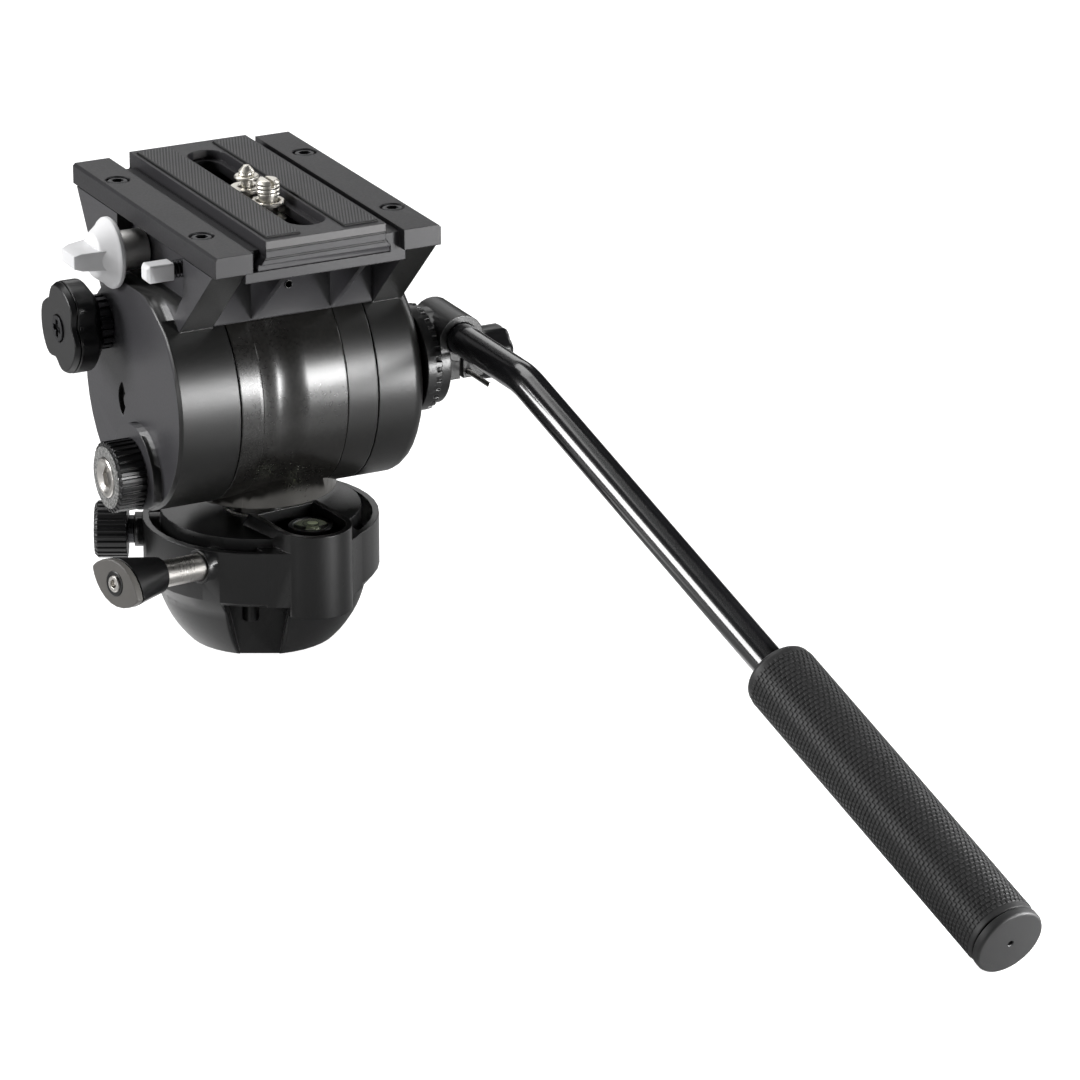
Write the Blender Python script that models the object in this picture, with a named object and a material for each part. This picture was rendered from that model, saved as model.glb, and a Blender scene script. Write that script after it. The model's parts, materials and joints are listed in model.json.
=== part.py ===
"""Fluid video head: half ball, pan and tilt head, sliding camera plate and one bent pan bar.

Metres. +Z is the pan axis and points up, +Y is where the lens looks and +X is the operator's right.
The origin is the centre of the half ball's flat underside.
"""

import math

import bmesh
import bpy
from mathutils import Matrix, Vector

# Clearances shared by all pieces
FIT_GAP = 0.0003
RUNNING_GAP = 0.0006
OVERRUN = 0.002
ROUND_STEPS = 40
GRIP_STEPS = 24
SMALL_STEPS = 16
PIN_STEPS = 12
END_STEPS = 12
KIDNEY_STEPS = 8
HEX_SIDES = 6
QUARTER_TURN = math.radians(90)

# Half ball, ring and hub of the base
BALL_RADIUS = 0.0420
BALL_CENTRE_HEIGHT = 0.0298
BALL_STEPS = 7
RING_RADIUS = 0.0465
RING_TOP = 0.0485
RING_BOTTOM = 0.0275
RING_WALL = 0.0026
RING_SKIRT_HEIGHT = 0.0065
HUB_RADIUS = 0.0395
HUB_TOP = 0.052
MOAT_FLOOR = 0.036
SPINDLE_RADIUS = 0.0077
SPINDLE_FOOT = 0.0135
BEARING_RADIUS = 0.0147
BEARING_RECESS_DEPTH = 0.003
RACE_THICKNESS = 0.0014
POCKET_COUNT = 3
POCKET_BEARING = math.radians(-117)
POCKET_WIDTH = 0.0262
POCKET_FOOT_WIDTH = 0.0146
POCKET_TOP = 0.0262
POCKET_INNER_RADIUS = 0.028
POCKET_RIB_RADIUS = 0.0032
POCKET_RIB_FOOT = 0.0145

# Nose with the level
NOSE_BEARING = math.radians(-84)
NOSE_REACH = 0.0402
NOSE_RADIUS = 0.0150
NOSE_BOTTOM = 0.0220
NOSE_TOP = 0.0560
NOSE_WALL = 0.0024
NOSE_BACK_REACH = 0.0165
NOSE_BACK_WIDTH = 0.0300
NOSE_FLANK = 0.0045
NOSE_FILLET_REACH = 0.0470
NOSE_FILLET_SPREAD = 0.0214
WELL_FLOOR = 0.0385
WELL_INNER_REACH = 0.0190
LEVEL_BEARING = math.radians(-79)
LEVEL_REACH = 0.0335
LEVEL_RADIUS = 0.0088
LEVEL_HEIGHT = 0.0145
LEVEL_GLASS_RADIUS = 0.0069
LEVEL_GLASS_DEPTH = 0.0035
LEVEL_GLASS_RISE = 0.0007

# Thread bush in the underside
BUSH_RADIUS = 0.0077
BUSH_HEIGHT = 0.0130
BUSH_BORE = 0.0047

# Pan drag knob on its boss
PAN_DRAG_BEARING = math.radians(153)
PAN_DRAG_HEIGHT = 0.0415
PAN_DRAG_BOSS_RADIUS = 0.0068
PAN_DRAG_BOSS_RISE = 0.0030
PAN_DRAG_BOSS_REACH = RING_RADIUS + PAN_DRAG_BOSS_RISE
PAN_DRAG_NECK_LENGTH = 0.0028
PAN_DRAG_NECK_RADIUS = 0.0055
PAN_DRAG_STEM_RADIUS = 0.0030
PAN_DRAG_STEM_DEPTH = 0.0120
PAN_DRAG_RADIUS = 0.0113
PAN_DRAG_LENGTH = 0.0129
PAN_DRAG_RIDGES = 24
PAN_DRAG_RIDGE_DEPTH = 0.0006

# Pan lock wing
PAN_LOCK_BEARING = math.radians(-165)
PAN_LOCK_TILT = math.radians(5)
PAN_LOCK_ROOT_SIDE = -0.0380
PAN_LOCK_ROOT_FRONT = -0.0276
PAN_LOCK_ROOT_HEIGHT = 0.0418
PAN_LOCK_BOSS_RADIUS = 0.0066
PAN_LOCK_BOSS_REACH = 0.0016
PAN_LOCK_SLEEVE_RADIUS = 0.0053
PAN_LOCK_SLEEVE_DEPTH = 0.0040
PAN_LOCK_SLEEVE_LENGTH = 0.0212
PAN_LOCK_STEM_RADIUS = 0.0030
PAN_LOCK_STEM_DEPTH = 0.0320
PAN_LOCK_BODY_LENGTH = 0.0180
PAN_LOCK_PLATE_LENGTH = 0.0030
PAN_LOCK_HALF_SPAN = 0.0145
PAN_LOCK_HALF_WIDTH = 0.0088
PAN_LOCK_REST_ANGLE = math.radians(-13)
PAN_LOCK_ROOT_RADIUS = 0.0070
PAN_LOCK_SCREW_RADIUS = 0.0034
PAN_LOCK_SCREW_RISE = 0.0008

# Neck and middle drum of the pan head
DRUM_RADIUS = 0.0460
DRUM_CLEARANCE = 0.0084
TILT_AXIS_HEIGHT = HUB_TOP + DRUM_CLEARANCE + DRUM_RADIUS
DRUM_WALL = 0.0040
MIDDLE_LEFT = -0.0277
MIDDLE_RIGHT = 0.0170
SEAM_GAP = 0.0006
END_RING_RIGHT = 0.0298
NECK_RADIUS = 0.0298
NECK_TOP_RADIUS = 0.0315
NECK_CLEARANCE = 0.0090
NECK_BOTTOM = HUB_TOP + NECK_CLEARANCE
NECK_CORE_RADIUS = 0.0140
NUT_RADIUS = 0.0115
NUT_RISE = 0.0066
NUT_FOOT = NECK_BOTTOM + NUT_RISE
SPINDLE_RISE = 0.0125
SPINDLE_TOP = NECK_BOTTOM + SPINDLE_RISE
NUT_SEAT_RADIUS = 0.0135
NUT_HEIGHT = 0.0045
AXLE_RADIUS = 0.0060
AXLE_LEFT = -0.0490
AXLE_RIGHT = 0.0465
DISC_INSET = 0.0100
DISC_RADIUS = DRUM_RADIUS - DISC_INSET
DISC_THICKNESS = 0.0020
DISC_COUNT = 2
SPRING_INSET = 0.0160
SPRING_RADIUS = DRUM_RADIUS - SPRING_INSET
SPRING_WIRE = 0.0017
SPRING_TURNS = 4
SPRING_POINTS_PER_TURN = 12
SPRING_SIDES = 5

# Side caps and cheeks of the tilt head
LEFT_FACE = -0.0536
RIGHT_FACE = 0.0510
CAP_WALL = 0.0036
CAP_RIM_CHAMFER = 0.0012
RIGHT_ROUNDING = 0.0055
ROUNDING_STEPS = 4
BUSH_WALL = 0.0024
CAP_BOSS_WALL = 0.0032
CAP_BOSS_LENGTH = 0.0110
CHEEK_OUTER = 0.0470
LEFT_CHEEK_INNER = 0.0330
RIGHT_CHEEK_INNER = 0.0344
CHEEK_RISE = 0.0646
CHEEK_TOP = TILT_AXIS_HEIGHT + CHEEK_RISE
CHEEK_FRONT = -0.0635
CHEEK_REAR = 0.0655
CHEEK_FRONT_FOOT = -0.0320
CHEEK_REAR_FOOT = 0.0400
CHEEK_REAR_FOOT_RISE = 0.0226
CHEEK_REAR_FOOT_HEIGHT = TILT_AXIS_HEIGHT + CHEEK_REAR_FOOT_RISE
DRAG_BOSS_RADIUS = 0.0195
DRAG_BOSS_HEIGHT = 0.0036
KIDNEY_SIDE = 0.0050
KIDNEY_DROP = 0.0049
KIDNEY_HEIGHT = TILT_AXIS_HEIGHT - KIDNEY_DROP
KIDNEY_RADIUS = 0.0058
KIDNEY_HALF_WIDTH = 0.0026
KIDNEY_HALF_ANGLE = math.radians(58)
KIDNEY_DEPTH = 0.0022
POCKET_FRONT = -0.0365
POCKET_REAR = 0.0260
CHEEK_POCKET_RISE = 0.0436
CHEEK_POCKET_BOTTOM = TILT_AXIS_HEIGHT + CHEEK_POCKET_RISE
CHEEK_POCKET_DEPTH = 0.0060

# Platform with rails, deck, skirts and gussets
DECK_RISE = 0.0636
DECK_TOP = TILT_AXIS_HEIGHT + DECK_RISE
RAIL_RISE = 0.0094
RAIL_TOP = DECK_TOP + RAIL_RISE
RAIL_INNER = 0.0315
RAIL_CHAMFER = 0.0010
RAIL_FRONT = -0.0665
RAIL_REAR = 0.0690
DECK_THICKNESS = 0.0040
DECK_FRONT = -0.0620
DECK_REAR = 0.0645
LIP_RISE = 0.0075
LIP_TOP = DECK_TOP + LIP_RISE
SKIRT_FACE = 0.0320
SKIRT_WALL = 0.0030
GUSSET_REACH = 0.0610
GUSSET_WALL = 0.0022
GUSSET_PLACES = (-0.0160, 0.0174)
RAIL_SCREW_SIDE = 0.0400
RAIL_SCREW_PLACES = (-0.0385, 0.0410)
RAIL_SCREW_HEAD_RADIUS = 0.0042
RAIL_SCREW_HEAD_HEIGHT = 0.0026
RAIL_SCREW_SHANK_RADIUS = 0.0024
RAIL_SCREW_LENGTH = 0.0160
RAIL_SCREW_SINK = 0.0032
RAIL_SCREW_SINK_RADIUS = 0.0050
SOCKET_DEPTH = 0.0014

# Camera plate, pads and camera screws
PLATE_HALF_WIDTH = 0.0250
PLATE_HALF_LENGTH = 0.0640
PLATE_RISE = 0.0123
PLATE_TOP = DECK_TOP + PLATE_RISE
PLATE_FLANGE = 0.0025
PLATE_FLANGE_HEIGHT = 0.0019
PLATE_SLOPE_HEIGHT = 0.0038
PLATE_END_STEP = 0.0020
PLATE_END_STEP_HEIGHT = 0.0027
PAD_WIDTH = 0.0140
PAD_HALF_LENGTH = 0.0605
PAD_THICKNESS = 0.0014
PAD_SINK = 0.0010
PAD_INSET = 0.0018
SLOT_HALF_LENGTH = 0.0530
SLOT_WIDTH = 0.0155
SLOT_NECK_WIDTH = 0.0106
SLOT_LEDGE_DEPTH = 0.0037
HEAD_CHANNEL_DEPTH = 0.0045
HEAD_CHANNEL_WIDTH = 0.0190
WASHER_RADIUS = 0.0066
WASHER_THICKNESS = 0.0016
CAMERA_SCREW_RISE = 0.0066
CAMERA_SCREW_TIP_SHARE = 0.82
CAMERA_SCREW_LEAD = 0.0012
CAMERA_SCREW_HEAD_HEIGHT = 0.0032
SMALL_SCREW_RADIUS = 0.003175
SMALL_SCREW_PLACE = 0.0080
SMALL_SCREW_HEAD_RADIUS = 0.0070
LARGE_SCREW_RADIUS = 0.0046
LARGE_SCREW_PLACE = -0.0117
LARGE_SCREW_HEAD_RADIUS = 0.0085
SCREW_SLOT_WIDTH = 0.0012
SCREW_SLOT_DEPTH = 0.0040

# Clamp jaw, clamp knob and release button
JAW_OUTER = 0.0304
JAW_HALF_LENGTH = 0.0580
CLAMP_SIDE = 0.0136
CLAMP_DROP = 0.0100
CLAMP_HEIGHT = DECK_TOP - CLAMP_DROP
CLAMP_COLLAR_RADIUS = 0.0079
CLAMP_COLLAR_OUTER = -0.0543
CLAMP_STEM_RADIUS = 0.0040
CLAMP_STEM_INNER = -0.0345
CLAMP_FLANGE_RADIUS = 0.0140
CLAMP_FLANGE_LENGTH = 0.0030
CLAMP_DOME_LENGTH = 0.0060
CLAMP_DOME_RADIUS = 0.0076
CLAMP_WING_LENGTH = 0.0190
CLAMP_WING_THICKNESS = 0.0072
CLAMP_WING_ROOT_WIDTH = 0.0180
CLAMP_WING_TIP_WIDTH = 0.0136
CLAMP_SOCKET_DEPTH = 0.0030
BUTTON_SIDE = -0.0300
BUTTON_DROP = 0.0050
BUTTON_HEIGHT = DECK_TOP - BUTTON_DROP
BUTTON_OUTER = -0.0604
BUTTON_INNER = -0.0493
BUTTON_WIDTH = 0.0072
BUTTON_TALL = 0.0070
BUTTON_EDGE = 0.0012
BUTTON_STEM_RADIUS = 0.0022
BUTTON_STEM_INNER = -0.0385
BUTTON_TRAVEL = 0.0025
BUTTON_SPRING_WIRE = 0.0003
BUTTON_SPRING_TURNS = 5

# Tilt lock knob
LOCK_SIDE = 0.0260
LOCK_RISE = 0.0218
LOCK_HEIGHT = TILT_AXIS_HEIGHT + LOCK_RISE
LOCK_RATCHET_RADIUS = 0.0108
LOCK_RATCHET_LENGTH = 0.0050
LOCK_RATCHET_TEETH = 18
LOCK_RATCHET_DEPTH = 0.0010
LOCK_KNOB_RADIUS = 0.0183
LOCK_KNOB_LENGTH = 0.0112
LOCK_KNOB_LOBES = 3
LOCK_KNOB_SCALLOP_SHARE = 0.22
LOCK_KNOB_FOOT_SHARE = 0.72
LOCK_SCALLOP_ANGLE = math.radians(165)
LOCK_COVER_LENGTH = 0.0022
LOCK_COVER_SHARE = 0.93
LOCK_SCREW_RADIUS = 0.0052
LOCK_SCREW_RISE = 0.0006
LOCK_STEM_RADIUS = 0.0035
LOCK_STEM_DEPTH = 0.0025

# Tilt drag knob
DRAG_SIDE = -0.0080
DRAG_DROP = 0.0294
DRAG_HEIGHT = TILT_AXIS_HEIGHT - DRAG_DROP
DRAG_RADIUS = 0.0140
DRAG_LENGTH = 0.0110
DRAG_RIDGES = 30
DRAG_RIDGE_DEPTH = 0.0007
DRAG_RING_RADIUS = 0.0079
DRAG_RING_RISE = 0.0005
DRAG_RING_DEPTH = 0.0030
DRAG_SOCKET_RADIUS = 0.0040
DRAG_STEM_RADIUS = 0.0030
DRAG_STEM_DEPTH = 0.0050

# Toothed disc and bracket of the pan bar
ROSETTE_SIDE = -0.0254
ROSETTE_RISE = 0.0058
ROSETTE_HEIGHT = TILT_AXIS_HEIGHT + ROSETTE_RISE
ROSETTE_RADIUS = 0.0210
ROSETTE_LENGTH = 0.0060
ROSETTE_RIM_LENGTH = 0.0026
ROSETTE_TEETH = 32
ROSETTE_TOOTH = 0.0009
STUD_RADIUS = 0.0040
STUD_INNER = 0.0430
STUD_NUT_RADIUS = 0.0070
STUD_NUT_LENGTH = 0.0034
BRACKET_DISC_RADIUS = 0.0190
BRACKET_DISC_LENGTH = 0.0044
BAR_SIDE = 0.0672
BAR_RISE = 0.0110
BAR_HEIGHT = ROSETTE_HEIGHT + BAR_RISE
BARREL_RADIUS = 0.0094
BARREL_NEAR = -0.0430
BARREL_FAR = -0.0170
BARREL_DOME = 0.0050
BARREL_BORE_END = -0.0210
EAR_DROP = 0.0164
EAR_BOTTOM = BAR_HEIGHT - EAR_DROP
EAR_HALF_WIDTH = 0.0094
EAR_LENGTH = 0.0125
EAR_SLIT = 0.0014
COLLAR_BOLT_SIDE = -0.0362
COLLAR_BOLT_DROP = 0.0096
COLLAR_BOLT_HEIGHT = BAR_HEIGHT - COLLAR_BOLT_DROP
COLLAR_BOLT_RADIUS = 0.0022
COLLAR_BOLT_INNER = 0.0605
COLLAR_KNOB_RADIUS = 0.0104
COLLAR_KNOB_LENGTH = 0.0115
COLLAR_KNOB_LOBES = 8
COLLAR_KNOB_SCALLOP_SHARE = 0.10
PIN_RADIUS = 0.0010
PIN_OFFSET = 0.0030
PIN_DROP = 0.0140
PIN_HEIGHT = BAR_HEIGHT - PIN_DROP
PIN_LENGTH = 0.0260
PIN_DEPTH = 0.0070

# Pan bar
TUBE_RADIUS = 0.00635
TUBE_WALL = 0.0012
TUBE_SIDES = 16
BEND_PLACE = -0.0969
BEND_ANGLE = math.radians(22)
BEND_ROLL = math.radians(16.3)
BEND_RADIUS = 0.0280
BEND_STEPS = 6
GRIP_START = 0.1779
GRIP_END = 0.3300
GRIP_RADIUS = 0.0138
GRIP_ROUNDING = 0.0032
GRIP_END_CAP = 0.0040
CAP_PLUG_LENGTH = 0.0120
CAP_HOLE_RADIUS = 0.0012
CAP_HOLE_DEPTH = 0.0030

# Shapes of flat sides as shares of their piece
WING_ROUNDNESS_SHARE = 0.78
WING_POINTS = 24
RIDGE_EDGE_SHARES = (0.0, 0.5, 0.55, 0.95)
CROSS_ARM_SHARE = 0.66
CROSS_WIDTH_SHARE = 0.33
LOBE_SHARPNESS = 5
LOBE_POINTS = 48
COLLAR_LOBE_SHARPNESS = 2
COLLAR_LOBE_POINTS = 40


def clear_scene():
    for obj in list(bpy.data.objects):
        bpy.data.objects.remove(obj)


def finish(name, colour, roughness, metallic=0.0):
    """A plain material with the piece's colour, roughness and metallic value."""
    material = bpy.data.materials.new(name)
    material.use_nodes = True
    shader = material.node_tree.nodes["Principled BSDF"]
    shader.inputs["Base Color"].default_value = (*colour, 1.0)
    shader.inputs["Roughness"].default_value = roughness
    shader.inputs["Metallic"].default_value = metallic
    return material


def body(name, place):
    """An empty on a joint's axis, which carries the pieces that move with it."""
    empty = bpy.data.objects.new(name, None)
    bpy.context.scene.collection.objects.link(empty)
    empty.location = place
    return empty


def carrier_place(carrier):
    return Vector(carrier.location) if carrier else Vector((0, 0, 0))


def add(name, shape, carrier, material, place=(0, 0, 0), turn=None):
    """A named object at a world place on its carrier, with its own finish."""
    mesh = bpy.data.meshes.new(name)
    bmesh.ops.recalc_face_normals(shape, faces=shape.faces)
    shape.to_mesh(mesh)
    shape.free()
    obj = bpy.data.objects.new(name, mesh)
    bpy.context.scene.collection.objects.link(obj)
    spin = turn.to_4x4() if turn else Matrix.Identity(4)
    obj.parent = carrier
    obj.matrix_basis = Matrix.Translation(Vector(place) - carrier_place(carrier)) @ spin
    if material:
        mesh.materials.append(material)
    mesh.shade_smooth()
    mesh.set_sharp_from_angle(angle=math.radians(30))
    return obj


def cutter(name, shape, carrier, place=(0, 0, 0), turn=None):
    """A helper that only shapes another object."""
    obj = add(name, shape, carrier, None, place, turn)
    obj.hide_render = True
    obj.display_type = "WIRE"
    return obj


def combine(obj, helper, operation):
    step = obj.modifiers.new(helper.name, "BOOLEAN")
    step.operation = operation
    step.object = helper
    step.solver = "EXACT"


def cut(obj, helper):
    combine(obj, helper, "DIFFERENCE")


def join(obj, helper):
    combine(obj, helper, "UNION")


def facing_left():
    """Turns a shape made along +Z so that it points along -X, with its +Y kept."""
    return Matrix.Rotation(-QUARTER_TURN, 3, "Y")


def facing_right():
    return Matrix.Rotation(QUARTER_TURN, 3, "Y")


def facing_operator():
    return Matrix.Rotation(QUARTER_TURN, 3, "X")


def facing_bearing(bearing):
    """Turns a shape made along +Z so that it points outwards at a bearing from +X."""
    return Matrix.Rotation(bearing, 3, "Z") @ Matrix.Rotation(QUARTER_TURN, 3, "Y")


def ring_faces(shape, lower, upper):
    """Sides between two rings of points; a ring of one point closes to a tip."""
    count = max(len(lower), len(upper))
    for i in range(count):
        j = (i + 1) % count
        corners = []
        for ring, step in ((lower, i), (lower, j), (upper, j), (upper, i)):
            vertex = ring[step % len(ring)]
            if vertex not in corners:
                corners.append(vertex)
        if len(corners) > 2:
            shape.faces.new(corners)


def turned(profile, steps=ROUND_STEPS, closed=False):
    """A solid turned about Z from (radius, height) points. A closed profile leaves a bore."""
    shape = bmesh.new()
    rings = []
    for radius, height in profile:
        if radius == 0:
            rings.append([shape.verts.new((0, 0, height))])
            continue
        ring = []
        for i in range(steps):
            angle = 2 * math.pi * i / steps
            ring.append(shape.verts.new((radius * math.cos(angle), radius * math.sin(angle), height)))
        rings.append(ring)
    pairs = list(zip(rings, rings[1:]))
    if closed:
        pairs.append((rings[-1], rings[0]))
    for lower, upper in pairs:
        ring_faces(shape, lower, upper)
    return shape


def rod(radius, start, end, steps=SMALL_STEPS):
    return turned([(0, start), (radius, start), (radius, end), (0, end)], steps)


def sleeve(inner, outer, start, end, steps=SMALL_STEPS):
    return turned([(inner, start), (outer, start), (outer, end), (inner, end)], steps, closed=True)


def stacked(rings):
    """A solid through rings of points that match one to one, with flat ends."""
    shape = bmesh.new()
    made = [[shape.verts.new(point) for point in ring] for ring in rings]
    for lower, upper in zip(made, made[1:]):
        ring_faces(shape, lower, upper)
    shape.faces.new(list(reversed(made[0])))
    shape.faces.new(made[-1])
    return shape


def prism(outline, start, end, plane="XY"):
    """An outline pushed from start to end, across the plane that it is drawn in."""
    orders = {
        "XY": lambda a, b, c: (a, b, c),
        "XZ": lambda a, b, c: (a, c, b),
        "YZ": lambda a, b, c: (c, a, b),
    }
    order = orders[plane]
    return stacked([[order(a, b, level) for a, b in outline] for level in (start, end)])


def block(low, high):
    outline = [(low[0], low[1]), (high[0], low[1]), (high[0], high[1]), (low[0], high[1])]
    return prism(outline, low[2], high[2])


def arc(centre, radius, start, end, steps):
    """Points on an arc, both ends included."""
    points = []
    for i in range(steps + 1):
        angle = start + (end - start) * i / steps
        points.append((centre[0] + radius * math.cos(angle), centre[1] + radius * math.sin(angle)))
    return points


def ridged(radius, depth, ridges):
    """Outline of a gripping edge: flat ridges with straight grooves between."""
    points = []
    for i in range(ridges):
        reaches = (radius, radius, radius - depth, radius - depth)
        for offset, reach in zip(RIDGE_EDGE_SHARES, reaches):
            angle = 2 * math.pi * (i + offset) / ridges
            points.append((reach * math.cos(angle), reach * math.sin(angle)))
    return points


def lobed(radius, scallop_share, lobes, first_scallop, sharpness, points):
    """Outline of a knob with evenly spaced scallops."""
    outline = []
    for i in range(points):
        angle = 2 * math.pi * i / points
        dip = (0.5 + 0.5 * math.cos(lobes * (angle - first_scallop))) ** sharpness
        reach = radius * (1 - scallop_share * dip)
        outline.append((reach * math.cos(angle), reach * math.sin(angle)))
    return outline


def scaled(outline, share, height):
    return [(a * share, b * share, height) for a, b in outline]


def polygon(radius, sides):
    return arc((0, 0), radius, 0, 2 * math.pi * (sides - 1) / sides, sides - 1)


def wire(points, radius, sides):
    """A round wire along points, closed at both ends."""
    shape = bmesh.new()
    rings = []
    for i, point in enumerate(points):
        ahead = (points[min(i + 1, len(points) - 1)] - points[max(i - 1, 0)]).normalized()
        across = ahead.orthogonal().normalized()
        if rings:
            across = (previous - ahead * previous.dot(ahead)).normalized()
        previous = across
        other = ahead.cross(across)
        ring = []
        for k in range(sides):
            angle = 2 * math.pi * k / sides
            offset = across * radius * math.cos(angle) + other * radius * math.sin(angle)
            ring.append(shape.verts.new(point + offset))
        rings.append(ring)
    for lower, upper in zip(rings, rings[1:]):
        ring_faces(shape, lower, upper)
    shape.faces.new(list(reversed(rings[0])))
    shape.faces.new(rings[-1])
    return shape


def coil(radius, wire_radius, turns, start, end, points_per_turn):
    """A helix about Z from start to end."""
    points = []
    count = turns * points_per_turn
    for i in range(count + 1):
        angle = 2 * math.pi * i / points_per_turn
        rise = start + (end - start) * i / count
        points.append(Vector((radius * math.cos(angle), radius * math.sin(angle), rise)))
    return wire(points, wire_radius, SPRING_SIDES)


def drum_height(radius, side):
    """Height of a drum of this radius above the tilt axis, at a distance from its middle plane."""
    return math.sqrt(radius**2 - side**2)


clear_scene()

black_casting = finish("black_casting", (0.030, 0.030, 0.032), 0.42, 0.35)
black_plastic = finish("black_plastic", (0.022, 0.022, 0.023), 0.50)
black_rubber = finish("black_rubber", (0.018, 0.018, 0.018), 0.85)
black_gloss = finish("black_gloss", (0.012, 0.012, 0.014), 0.16, 0.20)
white_plastic = finish("white_plastic", (0.82, 0.82, 0.82), 0.38)
grey_plastic = finish("grey_plastic", (0.30, 0.30, 0.29), 0.50)
bright_steel = finish("bright_steel", (0.72, 0.71, 0.69), 0.25, 1.0)
dark_steel = finish("dark_steel", (0.10, 0.10, 0.11), 0.38, 0.90)
level_glass = finish("level_glass", (0.70, 0.78, 0.70), 0.08)

base = body("base", (0, 0, 0))
pan_head = body("pan_head", (0, 0, HUB_TOP))
tilt_head = body("tilt_head", (0, 0, TILT_AXIS_HEIGHT))


def base_profile():
    """Half section of the turned part of the base, from the bore round to the bore."""
    bore = SPINDLE_RADIUS + FIT_GAP
    skirt_foot = RING_BOTTOM - RING_SKIRT_HEIGHT
    points = [(bore, 0)]
    for i in range(BALL_STEPS + 1):
        height = skirt_foot * i / BALL_STEPS
        points.append((math.sqrt(BALL_RADIUS**2 - (height - BALL_CENTRE_HEIGHT) ** 2), height))
    points += [(RING_RADIUS, RING_BOTTOM), (RING_RADIUS, RING_TOP)]
    points += [(RING_RADIUS - RING_WALL, RING_TOP), (RING_RADIUS - RING_WALL, MOAT_FLOOR)]
    points += [(HUB_RADIUS, MOAT_FLOOR), (HUB_RADIUS, HUB_TOP)]
    recess = BEARING_RADIUS + FIT_GAP
    points += [(recess, HUB_TOP), (recess, HUB_TOP - BEARING_RECESS_DEPTH)]
    points += [(bore, HUB_TOP - BEARING_RECESS_DEPTH)]
    return points


def nose_outline(radius, back_reach, back_half):
    """The nose seen from above, pointing along +X: a round end with straight sides towards the hub."""
    outer = arc((NOSE_REACH, 0), radius, -QUARTER_TURN, QUARTER_TURN, SMALL_STEPS)
    return outer + [(back_reach, back_half), (back_reach, -back_half)]


def nose_form():
    """The raised box of the nose, whose sides slope down to the hub's top."""
    upper = nose_outline(NOSE_RADIUS, NOSE_BACK_REACH, NOSE_BACK_WIDTH / 2)
    lower = []
    for x, y in upper:
        share = min(1.0, max(0.0, (NOSE_REACH - x) / (NOSE_REACH - NOSE_BACK_REACH)))
        lower.append((x, y + math.copysign(NOSE_FLANK * math.sqrt(share), y)))
    return stacked([scaled(lower, 1, HUB_TOP - NOSE_FLANK / 2), scaled(upper, 1, NOSE_TOP)])


def pan_lock_axis():
    """Where the lock's sleeve leaves the ring, and the turn that takes +Z outwards along it."""
    root = Vector((PAN_LOCK_ROOT_SIDE, PAN_LOCK_ROOT_FRONT, PAN_LOCK_ROOT_HEIGHT))
    rise = Matrix.Rotation(QUARTER_TURN - PAN_LOCK_TILT, 3, "Y")
    return root, Matrix.Rotation(PAN_LOCK_BEARING, 3, "Z") @ rise


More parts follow.
